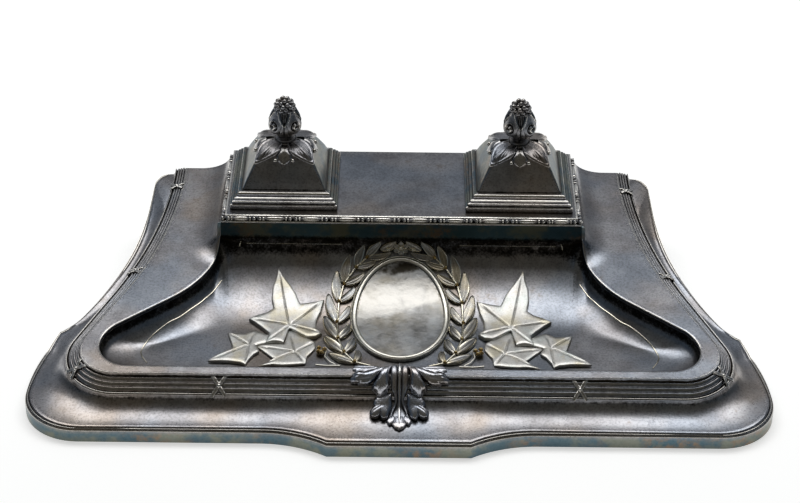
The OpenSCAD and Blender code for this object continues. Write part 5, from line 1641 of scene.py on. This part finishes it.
# How far the bud stands out from its turned line at angle a and height z, and how rubbed it is there
def budRelief(a, z):
    voluteZ, voluteR, pitch = finial["volute"]
    bud = smooth(3.2, 5.0, z) * smooth(18.2, 17.2, z)
    # angle from the middle of the gap between two petals, which opens upwards as a V
    seam = abs((a + 45) % 90 - 45)
    openTo = 30 * clamp((z - 11.4) / 6.2) ** 0.9
    gap = smooth(openTo + 0.5, openTo - 4.0, seam) * smooth(11.2, 12.4, z)
    edge = hump(seam, openTo + 2.4, 2.6) * smooth(10.2, 12.0, z)
    crease = hump(seam, 0, 2.6) * smooth(12.4, 11.0, z)
    crease += 0.6 * hump(seam, 16 - 1.6 * (z - 8), 3.0) * smooth(14.0, 11.5, z)
    # each petal is curled into a scroll on its outer side
    along = radians(a % 90 - 45) * 8.0
    rho = hypot(along, z - voluteZ)
    swirl = cos(2 * pi * rho / pitch - atan2(z - voluteZ, along if (a // 90) % 2 else -along))
    swirl *= smooth(voluteR, voluteR - 0.9, rho)
    high = bud * (0.6 * edge - 1.1 * gap + 0.6 * swirl - 0.45 * crease)
    worn = 0.8 * edge - 0.15 * gap * (1.5 + cosD(36 * seam)) + 0.42 * swirl - 0.35 * crease
    return high, clamp(0.4 + bud * worn - 0.3 * hump(z, 2.2, 0.8))


def makeFinial(side):
    cx = lidXs[side]
    f = finial
    dice = random.Random(f["seed"])
    shape = newShape()
    rows, wearAndShadings = [], []
    for r, z in smoothLine(f["line"], f["cuts"]):
        row, worn = [], []
        for k in range(f["steps"]):
            a = 360 * k / f["steps"]
            high, w = budRelief(a, z)
            row.append((cx + (r + high) * cosD(a), lidY + (r + high) * sinD(a), finialZ + z))
            worn.append(w)
        rows.append(row)
        wearAndShadings.append(worn)
    addGrid(shape, rows, wearAndShadings, closeRow=True)
    # berries in a golden spiral over a dome
    golden = pi * (3 - sqrt(5))
    for k in range(f["grains"]):
        up = 1 - 1.28 * (k + 0.5) / f["grains"]
        around = golden * k
        flat = sqrt(max(0.0, 1 - up * up))
        r = f["grainR"] * dice.uniform(0.82, 1.12)
        reach = f["domeR"] * dice.uniform(0.97, 1.04)
        o = (cx + reach * flat * cos(around), lidY + reach * flat * sin(around),
             finialZ + f["domeZ"] + reach * up * 1.02)
        squash = dice.uniform(0.85, 1.2)

        def onDome(x, y, z):
            return (o[0] + x * squash, o[1] + y / squash, o[2] + z)

        addTurned(shape, ballProfile(r, 0.5, -90, 90, 7), onDome, 10)
    addTurned(shape, ballProfile(f["domeR"] * 0.96, 0.05, -60, 90, 10),
              standAt((cx, lidY, finialZ + f["domeZ"])), 24)
    addTurned(shape, f["stud"], standAt((cx, lidY, finialZ)), 20)
    makeObject("bud_finial_" + side, shape, dullPlate, "lid_" + side, ["finial_" + side],
               sharp=50, merge=False)


makeTrayLine()
makeRibbons()
makeMedalRim()
makePlaque()
for side in ("left", "right"):
    makeWreath(side)
    makeIvy(side)
    makeLid(side)
    makeCalyx(side)
    makeFinial(side)
makeNodeBeads()
makeRosette()
makeBerries()
makeClasp()
print("ornament and lids made")


# CAD pieces that stay
finishes = {
    "deck_plate": silverPlate, "back_plate": silverPlate, "ribbon_ties": brightPlate,
    "medallion_frame": brightPlate, "medallion_plaque": polishedSilver,
    "wreath_left": brightPlate, "wreath_right": brightPlate, "wreath_rosette": brightPlate,
    "ivy_left": brightPlate, "ivy_right": brightPlate, "ivy_berries": wornGilding,
    "clasp_leaf": brightPlate, "base_board": plainBoard, "base_felt": woolFelt,
}
for side in ("left", "right"):
    finishes.update({
        "well_box_" + side: tinnedSheet, "glass_well_" + side: pressedGlass,
        "lid_" + side: silverPlate, "calyx_" + side: brightPlate,
        "finial_" + side: brightPlate, "finial_nut_" + side: castBrass,
        "hinge_foot_" + side: silverPlate, "hinge_leaf_" + side: silverPlate,
        "hinge_pin_" + side: tinnedSheet,
    })
for name, finish in finishes.items():
    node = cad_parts[name]
    node.data.materials.clear()
    node.data.materials.append(finish)
    if "wear" not in node.data.attributes:
        addPointValue(node.data, "wear", [0.5] * len(node.data.vertices))
print("finishes set")


# floor, light and camera: colours round the object, and the place, size and power of the lamp
studio = {
    "floor": "#f8f8f7", "boost": 0.6, "back": "#8f9399", "front": "#55534d", "sides": "#46505a",
    "floorX": (-6, 6), "floorY": (-6, 12),
    "keyAt": (0.0, 0.66, 1.35), "keySize": (2.0, 0.66), "keyPower": 11.0,
}


def makeFloor():
    s = studio
    (left, right), (near, far) = s["floorX"], s["floorY"]
    mesh = bpy.data.meshes.new("floor")
    mesh.from_pydata([(left, near, 0), (right, near, 0), (right, far, 0), (left, far, 0)], [], [(0, 1, 2, 3)])
    floor = bpy.data.objects.new("floor", mesh)
    bpy.context.scene.collection.objects.link(floor)
    material, tree = newMaterial("white paper sweep")
    path = addNode(tree, "ShaderNodeLightPath").outputs
    seen = path["Is Camera Ray"]
    for ray in ("Is Glossy Ray", "Is Transmission Ray"):
        seen = addNode(tree, "ShaderNodeMath", {"operation": "MAXIMUM", 0: seen, 1: path[ray]}).outputs[0]
    boost = addNode(tree, "ShaderNodeMath", {"operation": "MULTIPLY", 0: seen, 1: s["boost"]}).outputs[0]
    matt = addNode(tree, "ShaderNodeBsdfDiffuse", {"Color": toLinear(s["floor"])}).outputs[0]
    glow = addNode(tree, "ShaderNodeEmission", {"Color": toLinear(s["floor"]), "Strength": boost}).outputs[0]
    both = addNode(tree, "ShaderNodeAddShader", {0: matt, 1: glow}).outputs[0]
    addNode(tree, "ShaderNodeOutputMaterial", {"Surface": both})
    mesh.materials.append(material)


def makeLight():
    s = studio
    world = bpy.data.worlds.new("studio")
    bpy.context.scene.world = world
    world.use_nodes = True
    tree = world.node_tree
    tree.nodes.clear()
    direction = addNode(tree, "ShaderNodeTexCoord").outputs["Generated"]
    parts = addNode(tree, "ShaderNodeSeparateXYZ", {0: direction}).outputs
    aside = addNode(tree, "ShaderNodeMath", {"operation": "ABSOLUTE", 0: parts["X"]}).outputs[0]
    sky = layOver(tree, toLinear(s["front"]), toLinear(s["back"]), [(parts["Y"], -0.1, 0.5, 1.0)])
    sky = layOver(tree, sky, toLinear(s["sides"]), [(aside, 0.55, 0.9, 1.0)])
    back = addNode(tree, "ShaderNodeBackground", {"Color": sky, "Strength": 1.0}).outputs[0]
    addNode(tree, "ShaderNodeOutputWorld", {"Surface": back})
    lamp = bpy.data.lights.new("overhead softbox", "AREA")
    lamp.shape = "RECTANGLE"
    lamp.size, lamp.size_y = s["keySize"]
    lamp.energy = s["keyPower"]
    key = bpy.data.objects.new("overhead softbox", lamp)
    bpy.context.scene.collection.objects.link(key)
    key.location = s["keyAt"]
    key.rotation_euler = (Vector((0, 0, 0)) - Vector(s["keyAt"])).to_track_quat("-Z", "Y").to_euler()


# Fitted to the photograph: focal length and width of the frame in pixels, tilt and roll in degrees
view = {
    "focal": 2150, "frame": 800, "sensor": 36, "farthest": 50,
    "at": (-0.0005, -0.8902, 0.6325), "tilt": 56.8, "roll": 0.65,
}


def makeCamera():
    data = bpy.data.cameras.new("camera")
    data.sensor_width = view["sensor"]
    data.lens = view["focal"] / view["frame"] * view["sensor"]
    data.clip_end = view["farthest"]
    camera = bpy.data.objects.new("camera", data)
    bpy.context.scene.collection.objects.link(camera)
    tilt = Euler((radians(view["tilt"]), 0, 0)).to_matrix().to_4x4()
    roll = Matrix.Rotation(radians(view["roll"]), 4, "Z")
    camera.matrix_world = Matrix.Translation(view["at"]) @ tilt @ roll
    bpy.context.scene.camera = camera


makeFloor()
makeLight()
makeCamera()
bpy.context.scene.view_settings.view_transform = "Standard"
print("studio made")
